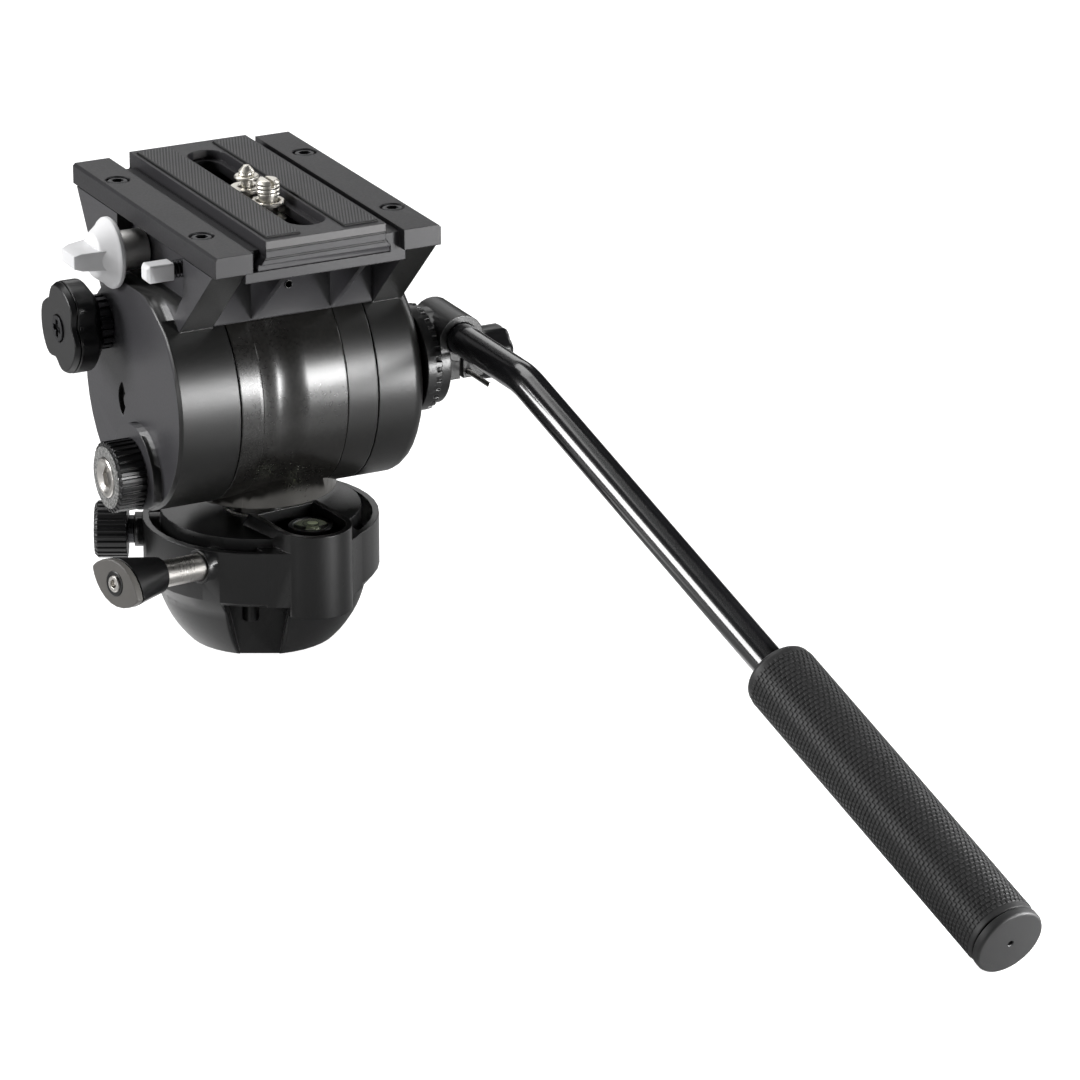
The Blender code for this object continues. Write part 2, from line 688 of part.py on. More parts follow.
def make_base():
    casting = add("base_casting", turned(base_profile(), closed=True), base, black_casting)
    nose_turn = Matrix.Rotation(NOSE_BEARING, 3, "Z")
    column = prism(nose_outline(NOSE_RADIUS, HUB_RADIUS / 2, NOSE_RADIUS), NOSE_BOTTOM, HUB_TOP - OVERRUN)
    join(casting, cutter("nose_column", column, base, (0, 0, 0), nose_turn))
    join(casting, cutter("nose_box", nose_form(), base, (0, 0, 0), nose_turn))
    ring_reach = math.sqrt(RING_RADIUS * RING_RADIUS - NOSE_FILLET_SPREAD * NOSE_FILLET_SPREAD)
    hub_reach = math.sqrt(HUB_RADIUS * HUB_RADIUS - NOSE_FILLET_SPREAD * NOSE_FILLET_SPREAD) - NOSE_WALL
    half_front = NOSE_RADIUS - NOSE_WALL
    fillet = [
        (hub_reach, NOSE_FILLET_SPREAD), (hub_reach, -NOSE_FILLET_SPREAD), (ring_reach, -NOSE_FILLET_SPREAD),
        (NOSE_FILLET_REACH, -half_front), (NOSE_FILLET_REACH, half_front), (ring_reach, NOSE_FILLET_SPREAD),
    ]
    fillet_form = prism(fillet, RING_BOTTOM - OVERRUN, RING_TOP)
    join(casting, cutter("nose_fillets", fillet_form, base, (0, 0, 0), nose_turn))
    boss = rod(PAN_DRAG_BOSS_RADIUS, HUB_RADIUS - PAN_DRAG_BOSS_RADIUS, PAN_DRAG_BOSS_REACH)
    boss_place = (0, 0, PAN_DRAG_HEIGHT)
    boss_turn = facing_bearing(PAN_DRAG_BEARING)
    join(casting, cutter("drag_boss_form", boss, base, boss_place, boss_turn))
    lock_root, lock_turn = pan_lock_axis()
    boss = rod(PAN_LOCK_BOSS_RADIUS, -HUB_RADIUS / 2, PAN_LOCK_BOSS_REACH)
    join(casting, cutter("lock_boss_form", boss, base, lock_root, lock_turn))
    well_outline = nose_outline(NOSE_RADIUS - NOSE_WALL, WELL_INNER_REACH, NOSE_BACK_WIDTH / 2 - NOSE_WALL)
    well = prism(well_outline, WELL_FLOOR, NOSE_TOP + OVERRUN)
    cut(casting, cutter("well_form", well, base, (0, 0, 0), nose_turn))
    stem_foot = PAN_DRAG_BOSS_REACH - PAN_DRAG_STEM_DEPTH
    stem_hole = rod(PAN_DRAG_STEM_RADIUS + FIT_GAP, stem_foot, PAN_DRAG_BOSS_REACH + OVERRUN)
    cut(casting, cutter("drag_stem_hole", stem_hole, base, boss_place, boss_turn))
    sleeve_hole = rod(PAN_LOCK_SLEEVE_RADIUS + FIT_GAP, -PAN_LOCK_SLEEVE_DEPTH - FIT_GAP, RING_RADIUS)
    cut(casting, cutter("lock_sleeve_hole", sleeve_hole, base, lock_root, lock_turn))
    lock_depth = PAN_LOCK_SLEEVE_LENGTH - PAN_LOCK_STEM_DEPTH - FIT_GAP
    lock_hole = rod(PAN_LOCK_STEM_RADIUS + FIT_GAP, lock_depth, -PAN_LOCK_SLEEVE_DEPTH)
    cut(casting, cutter("lock_stem_hole", lock_hole, base, lock_root, lock_turn))
    for i in range(POCKET_COUNT):
        turn = Matrix.Rotation(POCKET_BEARING + 2 * math.pi * i / POCKET_COUNT, 3, "Z")
        outline = [
            (-POCKET_FOOT_WIDTH / 2, -OVERRUN),
            (POCKET_FOOT_WIDTH / 2, -OVERRUN),
            (POCKET_WIDTH / 2, POCKET_TOP),
            (-POCKET_WIDTH / 2, POCKET_TOP),
        ]
        shape = prism(outline, POCKET_INNER_RADIUS, RING_RADIUS + OVERRUN, "YZ")
        cut(casting, cutter(f"pocket_form_{i + 1}", shape, base, (0, 0, 0), turn))
        rib = turn @ Vector((POCKET_INNER_RADIUS, -POCKET_RIB_RADIUS, 0))
        rib_shape = rod(POCKET_RIB_RADIUS, POCKET_RIB_FOOT, POCKET_TOP + OVERRUN)
        join(casting, cutter(f"pocket_rib_{i + 1}", rib_shape, base, rib))

    spindle = rod(SPINDLE_RADIUS, SPINDLE_FOOT, SPINDLE_TOP)
    add("pan_spindle", spindle, base, bright_steel)
    bush = sleeve(BUSH_BORE, BUSH_RADIUS, 0, BUSH_HEIGHT)
    add("thread_bush", bush, base, bright_steel)
    nut = prism(polygon(NUT_RADIUS, HEX_SIDES), NUT_FOOT, NUT_FOOT + NUT_HEIGHT)
    nut_obj = add("spindle_nut", nut, base, bright_steel)
    nut_bore = rod(SPINDLE_RADIUS + FIT_GAP, NUT_FOOT - OVERRUN, NUT_FOOT + NUT_HEIGHT + OVERRUN)
    cut(nut_obj, cutter("nut_bore", nut_bore, base))
    race_foot = HUB_TOP - BEARING_RECESS_DEPTH + FIT_GAP
    race = sleeve(SPINDLE_RADIUS + FIT_GAP, BEARING_RADIUS, race_foot, race_foot + RACE_THICKNESS)
    add("lower_bearing_race", race, base, bright_steel)

    level_foot = WELL_FLOOR + FIT_GAP
    cup_top = level_foot + LEVEL_HEIGHT
    glass_foot = cup_top - LEVEL_GLASS_DEPTH
    level_place = Matrix.Rotation(LEVEL_BEARING, 3, "Z") @ Vector((LEVEL_REACH, 0, 0))
    cup = turned([
        (0, level_foot), (LEVEL_RADIUS, level_foot), (LEVEL_RADIUS, cup_top),
        (LEVEL_GLASS_RADIUS + FIT_GAP, cup_top), (LEVEL_GLASS_RADIUS + FIT_GAP, glass_foot), (0, glass_foot),
    ], SMALL_STEPS)
    add("level_cup", cup, base, black_plastic, level_place)
    glass_low = glass_foot + FIT_GAP
    glass = turned([
        (0, glass_low), (LEVEL_GLASS_RADIUS, glass_low), (LEVEL_GLASS_RADIUS, cup_top),
        (LEVEL_GLASS_RADIUS / 2, cup_top + LEVEL_GLASS_RISE), (0, cup_top + LEVEL_GLASS_RISE),
    ], SMALL_STEPS)
    add("level_glass", glass, base, level_glass, level_place)

    lock_sleeve = sleeve(PAN_LOCK_STEM_RADIUS + FIT_GAP, PAN_LOCK_SLEEVE_RADIUS,
                         -PAN_LOCK_SLEEVE_DEPTH, PAN_LOCK_SLEEVE_LENGTH)
    add("pan_lock_sleeve", lock_sleeve, base, bright_steel, lock_root, lock_turn)


def make_pan_drag_knob():
    place = Matrix.Rotation(PAN_DRAG_BEARING, 3, "Z") @ Vector((PAN_DRAG_BOSS_REACH, 0, PAN_DRAG_HEIGHT))
    carrier = body("pan_drag", place)
    turn = facing_bearing(PAN_DRAG_BEARING)
    outline = ridged(PAN_DRAG_RADIUS, PAN_DRAG_RIDGE_DEPTH, PAN_DRAG_RIDGES)
    foot = PAN_DRAG_NECK_LENGTH
    top = foot + PAN_DRAG_LENGTH
    shrunk = (PAN_DRAG_RADIUS - PAN_DRAG_NECK_LENGTH / 2) / PAN_DRAG_RADIUS
    shoulder = top - PAN_DRAG_NECK_LENGTH / 2
    rings = [scaled(outline, 1, foot), scaled(outline, 1, shoulder), scaled(outline, shrunk, top)]
    knob = add("pan_drag_knob", stacked(rings), carrier, black_plastic, place, turn)
    bore = rod(PAN_DRAG_STEM_RADIUS + FIT_GAP, foot - OVERRUN, foot + PAN_DRAG_LENGTH / 2)
    cut(knob, cutter("pan_drag_bore", bore, carrier, place, turn))
    stem_top = foot + PAN_DRAG_LENGTH / 2 - FIT_GAP
    stem = turned([
        (0, FIT_GAP - PAN_DRAG_STEM_DEPTH), (PAN_DRAG_STEM_RADIUS, FIT_GAP - PAN_DRAG_STEM_DEPTH),
        (PAN_DRAG_STEM_RADIUS, FIT_GAP), (PAN_DRAG_NECK_RADIUS, FIT_GAP),
        (PAN_DRAG_NECK_RADIUS, foot - FIT_GAP), (PAN_DRAG_STEM_RADIUS, foot - FIT_GAP),
        (PAN_DRAG_STEM_RADIUS, stem_top), (0, stem_top),
    ], SMALL_STEPS)
    add("pan_drag_stem", stem, carrier, dark_steel, place, turn)


def wing_outline():
    """Leaf shape of the pan lock: pointed along Y, round between."""
    points = []
    for i in range(WING_POINTS):
        angle = 2 * math.pi * i / WING_POINTS
        across = math.cos(angle)
        along = math.sin(angle)
        reach = abs(across) ** (2 * WING_ROUNDNESS_SHARE)
        points.append((math.copysign(PAN_LOCK_HALF_WIDTH * reach, across), PAN_LOCK_HALF_SPAN * along))
    return points


def make_pan_lock():
    lock_root, lock_turn = pan_lock_axis()
    place = lock_root + lock_turn @ Vector((0, 0, PAN_LOCK_SLEEVE_LENGTH))
    carrier = body("pan_lock", place)
    turn = lock_turn @ Matrix.Rotation(PAN_LOCK_REST_ANGLE, 3, "Z")
    outline = wing_outline()
    root = polygon(PAN_LOCK_ROOT_RADIUS, WING_POINTS)
    foot = FIT_GAP
    seat = foot + PAN_LOCK_BODY_LENGTH
    middle = [((a + c) / 2, (b + d) / 2, seat / 2) for (a, b), (c, d) in zip(outline, root)]
    rings = [scaled(root, 1, foot), middle, scaled(outline, 1, seat)]
    wing = add("pan_lock_wing", stacked(rings), carrier, black_plastic, place, turn)
    bore = rod(PAN_LOCK_STEM_RADIUS + FIT_GAP, -OVERRUN, seat + OVERRUN)
    cut(wing, cutter("wing_bore", bore, carrier, place, turn))
    plate_foot = seat + FIT_GAP
    plate_top = plate_foot + PAN_LOCK_PLATE_LENGTH
    plate = stacked([scaled(outline, 1, plate_foot), scaled(outline, 1, plate_top)])
    plate_obj = add("pan_lock_face", plate, carrier, grey_plastic, place, turn)
    sink = rod(PAN_LOCK_SCREW_RADIUS + FIT_GAP, plate_foot - OVERRUN, plate_top + OVERRUN)
    cut(plate_obj, cutter("face_bore", sink, carrier, place, turn))
    screw_top = plate_top + PAN_LOCK_SCREW_RISE
    screw = turned([
        (0, -PAN_LOCK_STEM_DEPTH), (PAN_LOCK_STEM_RADIUS, -PAN_LOCK_STEM_DEPTH),
        (PAN_LOCK_STEM_RADIUS, plate_foot), (PAN_LOCK_SCREW_RADIUS, plate_foot),
        (PAN_LOCK_SCREW_RADIUS, screw_top), (PAN_LOCK_SCREW_RADIUS / 2, screw_top),
        (PAN_LOCK_SCREW_RADIUS / 2, screw_top - SOCKET_DEPTH), (0, screw_top - SOCKET_DEPTH),
    ], SMALL_STEPS)
    add("pan_lock_screw", screw, carrier, bright_steel, place, turn)


def make_pan_head():
    axis = (0, 0, TILT_AXIS_HEIGHT)
    drum = add("neck_and_drum", rod(DRUM_RADIUS, MIDDLE_LEFT, MIDDLE_RIGHT, ROUND_STEPS), pan_head,
               black_casting, axis, facing_right())
    core_foot = HUB_TOP + RUNNING_GAP
    collar_top = TILT_AXIS_HEIGHT - drum_height(DRUM_RADIUS, NECK_TOP_RADIUS) + OVERRUN
    neck = turned([
        (0, core_foot), (NECK_CORE_RADIUS, core_foot), (NECK_CORE_RADIUS, NECK_BOTTOM),
        (NECK_RADIUS, NECK_BOTTOM), (NECK_TOP_RADIUS, collar_top), (0, collar_top),
    ])
    neck_form = cutter("neck_form", neck, pan_head)
    sides = block((MIDDLE_LEFT, -DRUM_RADIUS, 0), (END_RING_RIGHT, DRUM_RADIUS, TILT_AXIS_HEIGHT))
    combine(neck_form, cutter("neck_sides", sides, pan_head), "INTERSECT")
    join(drum, neck_form)
    hollow = rod(DRUM_RADIUS - DRUM_WALL, MIDDLE_LEFT + DRUM_WALL, MIDDLE_RIGHT + OVERRUN, ROUND_STEPS)
    cut(drum, cutter("drum_hollow", hollow, pan_head, axis, facing_right()))
    seat = rod(NUT_SEAT_RADIUS, NECK_BOTTOM, NUT_FOOT - RUNNING_GAP)
    join(drum, cutter("nut_seat_form", seat, pan_head))
    axle_bore = rod(AXLE_RADIUS + FIT_GAP, MIDDLE_LEFT - OVERRUN, MIDDLE_LEFT + DRUM_WALL + OVERRUN)
    cut(drum, cutter("axle_bore", axle_bore, pan_head, axis, facing_right()))
    spindle_bore = rod(SPINDLE_RADIUS + RUNNING_GAP, core_foot - OVERRUN, SPINDLE_TOP)
    cut(drum, cutter("spindle_bore", spindle_bore, pan_head))

    ring_left = MIDDLE_RIGHT + FIT_GAP
    ring = turned([
        (AXLE_RADIUS + FIT_GAP, ring_left), (DRUM_RADIUS, ring_left), (DRUM_RADIUS, END_RING_RIGHT),
        (DRUM_RADIUS - DRUM_WALL, END_RING_RIGHT), (DRUM_RADIUS - DRUM_WALL, ring_left + DRUM_WALL),
        (AXLE_RADIUS + FIT_GAP, ring_left + DRUM_WALL),
    ], ROUND_STEPS, closed=True)
    ring_obj = add("drum_end_ring", ring, pan_head, black_casting, axis, facing_right())
    notch = turned([
        (0, core_foot), (NECK_RADIUS + FIT_GAP, core_foot), (NECK_RADIUS + FIT_GAP, NECK_BOTTOM),
        (NECK_TOP_RADIUS + FIT_GAP, collar_top + FIT_GAP), (0, collar_top + FIT_GAP),
    ])
    cut(ring_obj, cutter("ring_notch", notch, pan_head))
    add("tilt_axle", rod(AXLE_RADIUS, AXLE_LEFT, AXLE_RIGHT), pan_head, bright_steel, axis, facing_right())
    race_foot = HUB_TOP - BEARING_RECESS_DEPTH + FIT_GAP + RACE_THICKNESS + FIT_GAP
    race_top = core_foot - FIT_GAP
    race = sleeve(SPINDLE_RADIUS + RUNNING_GAP, BEARING_RADIUS - FIT_GAP, race_foot, race_top)
    add("upper_bearing_race", race, pan_head, bright_steel)
    disc_left = END_RING_RIGHT + SEAM_GAP
    for i in range(DISC_COUNT):
        start = disc_left + i * (DISC_THICKNESS + FIT_GAP)
        disc = sleeve(AXLE_RADIUS + FIT_GAP, DISC_RADIUS, start, start + DISC_THICKNESS, SMALL_STEPS)
        add(f"tilt_drag_disc_{i + 1}", disc, pan_head, dark_steel, axis, facing_right())
    spring_left = LEFT_FACE + CAP_WALL + SEAM_GAP + SPRING_WIRE
    spring_right = MIDDLE_LEFT - FIT_GAP - SPRING_WIRE
    spring = coil(SPRING_RADIUS, SPRING_WIRE, SPRING_TURNS, spring_left, spring_right, SPRING_POINTS_PER_TURN)
    add("counterbalance_spring", spring, pan_head, bright_steel, axis, facing_right())


def left_cap_profile():
    """Left cap seen from the tilt axis: (radius, place along X)."""
    right = MIDDLE_LEFT - SEAM_GAP
    return [
        (0, LEFT_FACE), (DRUM_RADIUS - CAP_RIM_CHAMFER, LEFT_FACE),
        (DRUM_RADIUS, LEFT_FACE + CAP_RIM_CHAMFER), (DRUM_RADIUS, right), (0, right),
    ]


def right_cap_profile():
    left = END_RING_RIGHT + SEAM_GAP
    corner = (DRUM_RADIUS - RIGHT_ROUNDING, RIGHT_FACE - RIGHT_ROUNDING)
    rounding = arc(corner, RIGHT_ROUNDING, 0, QUARTER_TURN, ROUNDING_STEPS)
    return [(0, left), (DRUM_RADIUS, left)] + rounding + [(0, RIGHT_FACE)]


def cheek_outline():
    """Side view (Y, Z) of the wedge that joins a cap to the platform."""
    front_foot = TILT_AXIS_HEIGHT + drum_height(DRUM_RADIUS + SEAM_GAP, CHEEK_FRONT_FOOT)
    return [
        (0, TILT_AXIS_HEIGHT), (CHEEK_REAR_FOOT, CHEEK_REAR_FOOT_HEIGHT), (CHEEK_REAR, CHEEK_TOP),
        (CHEEK_FRONT, CHEEK_TOP), (CHEEK_FRONT_FOOT, front_foot),
    ]


def drag_boss_outline():
    """Raised round seat of the drag knob, trimmed by the cap's rim, in (Y, Z)."""
    points = []
    for i in range(ROUND_STEPS):
        angle = 2 * math.pi * i / ROUND_STEPS
        side = DRAG_SIDE + DRAG_BOSS_RADIUS * math.cos(angle)
        rise = DRAG_HEIGHT - TILT_AXIS_HEIGHT + DRAG_BOSS_RADIUS * math.sin(angle)
        limit = min(1.0, (DRUM_RADIUS - CAP_RIM_CHAMFER) / math.hypot(side, rise))
        points.append((side * limit, TILT_AXIS_HEIGHT + rise * limit))
    return points


def kidney_outline():
    centre = (KIDNEY_SIDE, KIDNEY_HEIGHT)
    first, last = -KIDNEY_HALF_ANGLE, KIDNEY_HALF_ANGLE
    outer = arc(centre, KIDNEY_RADIUS + KIDNEY_HALF_WIDTH, first, last, KIDNEY_STEPS)
    inner = arc(centre, KIDNEY_RADIUS - KIDNEY_HALF_WIDTH, last, first, KIDNEY_STEPS)
    return outer + inner


def screw_holes(obj, side, name):
    for place in RAIL_SCREW_PLACES:
        foot = RAIL_TOP - RAIL_SCREW_SINK - RAIL_SCREW_LENGTH - FIT_GAP
        hole = rod(RAIL_SCREW_SHANK_RADIUS + FIT_GAP, foot, RAIL_TOP + OVERRUN)
        cut(obj, cutter(f"{name}_hole_{place:.3f}", hole, tilt_head, (side, place, 0)))


def cap_bushing(obj, name, wall_face, inward):
    """Boss inside a cap with the bore of its bush, and the bush itself."""
    axis = (0, 0, TILT_AXIS_HEIGHT)
    bush_inner = AXLE_RADIUS + RUNNING_GAP
    bush_outer = bush_inner + BUSH_WALL
    boss_outer = bush_outer + FIT_GAP + CAP_BOSS_WALL
    boss_end = wall_face + inward * CAP_BOSS_LENGTH
    start, end = sorted((wall_face - inward * CAP_WALL / 2, boss_end))
    join(obj, cutter(f"{name}_boss", rod(boss_outer, start, end), tilt_head, axis, facing_right()))
    start, end = sorted((wall_face + inward * FIT_GAP, boss_end + inward * OVERRUN))
    bore = rod(bush_outer + FIT_GAP, start, end)
    cut(obj, cutter(f"{name}_bush_bore", bore, tilt_head, axis, facing_right()))
    start, end = sorted((wall_face + inward * (FIT_GAP + FIT_GAP), boss_end))
    bush = sleeve(bush_inner, bush_outer, start, end)
    add(f"{name}_bush", bush, tilt_head, bright_steel, axis, facing_right())


def make_left_cap():
    axis = (0, 0, TILT_AXIS_HEIGHT)
    cap = add("left_cap", turned(left_cap_profile()), tilt_head, black_casting, axis, facing_right())
    cheek = prism(cheek_outline(), -CHEEK_OUTER, -LEFT_CHEEK_INNER, "YZ")
    join(cap, cutter("left_cheek_form", cheek, tilt_head))
    seat = prism(drag_boss_outline(), LEFT_FACE - DRAG_BOSS_HEIGHT, LEFT_FACE + CAP_RIM_CHAMFER, "YZ")
    join(cap, cutter("drag_seat_form", seat, tilt_head))
    wall_face = LEFT_FACE + CAP_WALL
    hollow = rod(DRUM_RADIUS - DRUM_WALL, wall_face, MIDDLE_LEFT + OVERRUN, ROUND_STEPS)
    cut(cap, cutter("left_hollow", hollow, tilt_head, axis, facing_right()))
    cap_bushing(cap, "left", wall_face, 1)
    kidney = prism(kidney_outline(), LEFT_FACE - OVERRUN, LEFT_FACE + KIDNEY_DEPTH, "YZ")
    cut(cap, cutter("kidney_form", kidney, tilt_head))
    floor = -CHEEK_OUTER + CHEEK_POCKET_DEPTH
    slope = CHEEK_POCKET_DEPTH
    outline = [
        (POCKET_FRONT, CHEEK_POCKET_BOTTOM + slope), (POCKET_FRONT + slope, CHEEK_POCKET_BOTTOM),
        (POCKET_REAR, CHEEK_POCKET_BOTTOM), (POCKET_REAR, CHEEK_TOP + OVERRUN),
        (POCKET_FRONT, CHEEK_TOP + OVERRUN),
    ]
    pocket = prism(outline, LEFT_FACE - OVERRUN, floor, "YZ")
    cut(cap, cutter("cheek_pocket", pocket, tilt_head))
    stem_hole = rod(CLAMP_STEM_RADIUS + FIT_GAP, LEFT_CHEEK_INNER - OVERRUN, CHEEK_OUTER)
    cut(cap, cutter("clamp_stem_hole", stem_hole, tilt_head, (0, CLAMP_SIDE, CLAMP_HEIGHT), facing_left()))
    button_hole_foot = -BUTTON_STEM_INNER - BUTTON_TRAVEL - FIT_GAP
    button_hole = rod(BUTTON_STEM_RADIUS + FIT_GAP, button_hole_foot, CHEEK_OUTER)
    cut(cap, cutter("button_hole", button_hole, tilt_head, (0, BUTTON_SIDE, BUTTON_HEIGHT), facing_left()))
    for name, side, height, radius, depth in (
        ("drag_hole", DRAG_SIDE, DRAG_HEIGHT, DRAG_STEM_RADIUS, DRAG_STEM_DEPTH),
        ("lock_hole", LOCK_SIDE, LOCK_HEIGHT, LOCK_STEM_RADIUS, LOCK_STEM_DEPTH + FIT_GAP),
    ):
        hole = rod(radius + FIT_GAP, -LEFT_FACE - depth, -LEFT_FACE + DRAG_BOSS_HEIGHT + OVERRUN)
        cut(cap, cutter(name, hole, tilt_head, (0, side, height), facing_left()))
    screw_holes(cap, -RAIL_SCREW_SIDE, "left")


def make_right_cap():
    axis = (0, 0, TILT_AXIS_HEIGHT)
    cap = add("right_cap", turned(right_cap_profile()), tilt_head, black_casting, axis, facing_right())
    cheek = prism(cheek_outline(), RIGHT_CHEEK_INNER, CHEEK_OUTER, "YZ")
    join(cap, cutter("right_cheek_form", cheek, tilt_head))
    wall_face = RIGHT_FACE - CAP_WALL
    hollow = rod(DRUM_RADIUS - DRUM_WALL, END_RING_RIGHT - OVERRUN, wall_face, ROUND_STEPS)
    cut(cap, cutter("right_hollow", hollow, tilt_head, axis, facing_right()))
    cap_bushing(cap, "right", wall_face, -1)
    stud_hole = rod(STUD_RADIUS + FIT_GAP, wall_face - OVERRUN, RIGHT_FACE + OVERRUN)
    cut(cap, cutter("stud_hole", stud_hole, tilt_head, (0, ROSETTE_SIDE, ROSETTE_HEIGHT), facing_right()))
    screw_holes(cap, RAIL_SCREW_SIDE, "right")


def plate_side(side, clearance):
    """(X, Z) of the plate's sloping side, from its foot up, on one side of the head."""
    foot = DECK_TOP + FIT_GAP
    wide = PLATE_HALF_WIDTH + PLATE_FLANGE + clearance
    slope_foot = foot + PLATE_FLANGE_HEIGHT + clearance / 2
    slope_top = slope_foot + PLATE_SLOPE_HEIGHT
    return [
        (side * wide, foot), (side * wide, slope_foot), (side * (PLATE_HALF_WIDTH + clearance), slope_top),
    ]


def platform_outline():
    """Cross section (X, Z) of rails and deck, with the fixed lip on the right."""
    cheek_seat = CHEEK_TOP + FIT_GAP
    left_inner = -LEFT_CHEEK_INNER + FIT_GAP
    right_inner = RIGHT_CHEEK_INNER - FIT_GAP
    under = DECK_TOP - DECK_THICKNESS
    lip = plate_side(1, FIT_GAP)
    points = [
        (-CHEEK_OUTER, cheek_seat), (left_inner, cheek_seat), (left_inner, under), (right_inner, under),
        (right_inner, cheek_seat), (CHEEK_OUTER, cheek_seat), (CHEEK_OUTER, RAIL_TOP - RAIL_CHAMFER),
        (CHEEK_OUTER - RAIL_CHAMFER, RAIL_TOP), (RAIL_INNER, RAIL_TOP), (RAIL_INNER, LIP_TOP),
        (lip[2][0], LIP_TOP), lip[2], lip[1], (lip[0][0], DECK_TOP),
        (-RAIL_INNER, DECK_TOP), (-RAIL_INNER, RAIL_TOP), (-CHEEK_OUTER + RAIL_CHAMFER, RAIL_TOP),
        (-CHEEK_OUTER, RAIL_TOP - RAIL_CHAMFER),
    ]
    return points


def make_platform():
    rails = prism(platform_outline(), RAIL_FRONT, RAIL_REAR, "XZ")
    platform = add("platform", rails, tilt_head, black_casting)
    under = DECK_TOP - DECK_THICKNESS
    left_inner = -LEFT_CHEEK_INNER + FIT_GAP
    right_inner = RIGHT_CHEEK_INNER - FIT_GAP
    for name, start, end in (
        ("front", RAIL_FRONT - OVERRUN, DECK_FRONT), ("rear", DECK_REAR, RAIL_REAR + OVERRUN)
    ):
        shape = block((-RAIL_INNER, start, under - OVERRUN), (RAIL_INNER, end, RAIL_TOP + OVERRUN))
        cut(platform, cutter(f"deck_end_{name}", shape, tilt_head))
        low = (left_inner - OVERRUN, start, under - OVERRUN)
        shape = block(low, (right_inner + OVERRUN, end, CHEEK_TOP + FIT_GAP))
        cut(platform, cutter(f"deck_foot_{name}", shape, tilt_head))
    foot = TILT_AXIS_HEIGHT
    for name, sign in (("front", -1), ("rear", 1)):
        low, high = sorted((sign * SKIRT_FACE, sign * (SKIRT_FACE - SKIRT_WALL)))
        shape = block((left_inner, low, foot), (right_inner, high, under + DECK_THICKNESS / 2))
        join(platform, cutter(f"skirt_{name}", shape, tilt_head))
        for i, place in enumerate(GUSSET_PLACES):
            face = sign * (SKIRT_FACE - SKIRT_WALL / 2)
            outline = [
                (face, TILT_AXIS_HEIGHT + drum_height(DRUM_RADIUS, SKIRT_FACE)),
                (sign * GUSSET_REACH, under + FIT_GAP), (face, under + FIT_GAP),
            ]
            shape = prism(outline, place - GUSSET_WALL / 2, place + GUSSET_WALL / 2, "YZ")
            join(platform, cutter(f"gusset_{name}_{i + 1}", shape, tilt_head))
    clearance = rod(DRUM_RADIUS + SEAM_GAP, -CHEEK_OUTER, CHEEK_OUTER, ROUND_STEPS)
    cut(platform, cutter("drum_clearance", clearance, tilt_head, (0, 0, TILT_AXIS_HEIGHT), facing_right()))
    for side, name in ((-RAIL_SCREW_SIDE, "rail_left"), (RAIL_SCREW_SIDE, "rail_right")):
        screw_holes(platform, side, name)
        for place in RAIL_SCREW_PLACES:
            sink = rod(RAIL_SCREW_SINK_RADIUS, RAIL_TOP - RAIL_SCREW_SINK, RAIL_TOP + OVERRUN)
            cut(platform, cutter(f"{name}_sink_{place:.3f}", sink, tilt_head, (side, place, 0)))


def make_rail_screws():
    number = 0
    for side in (-RAIL_SCREW_SIDE, RAIL_SCREW_SIDE):
        for place in RAIL_SCREW_PLACES:
            number += 1
            seat = RAIL_TOP - RAIL_SCREW_SINK + FIT_GAP
            top = seat + RAIL_SCREW_HEAD_HEIGHT
            screw = turned([
                (0, seat - RAIL_SCREW_LENGTH), (RAIL_SCREW_SHANK_RADIUS, seat - RAIL_SCREW_LENGTH),
                (RAIL_SCREW_SHANK_RADIUS, seat), (RAIL_SCREW_HEAD_RADIUS, seat),
                (RAIL_SCREW_HEAD_RADIUS, top), (RAIL_SCREW_HEAD_RADIUS / 2, top),
                (RAIL_SCREW_HEAD_RADIUS / 2, top - SOCKET_DEPTH), (0, top - SOCKET_DEPTH),
            ], SMALL_STEPS)
            add(f"rail_screw_{number}", screw, tilt_head, dark_steel, (side, place, 0))


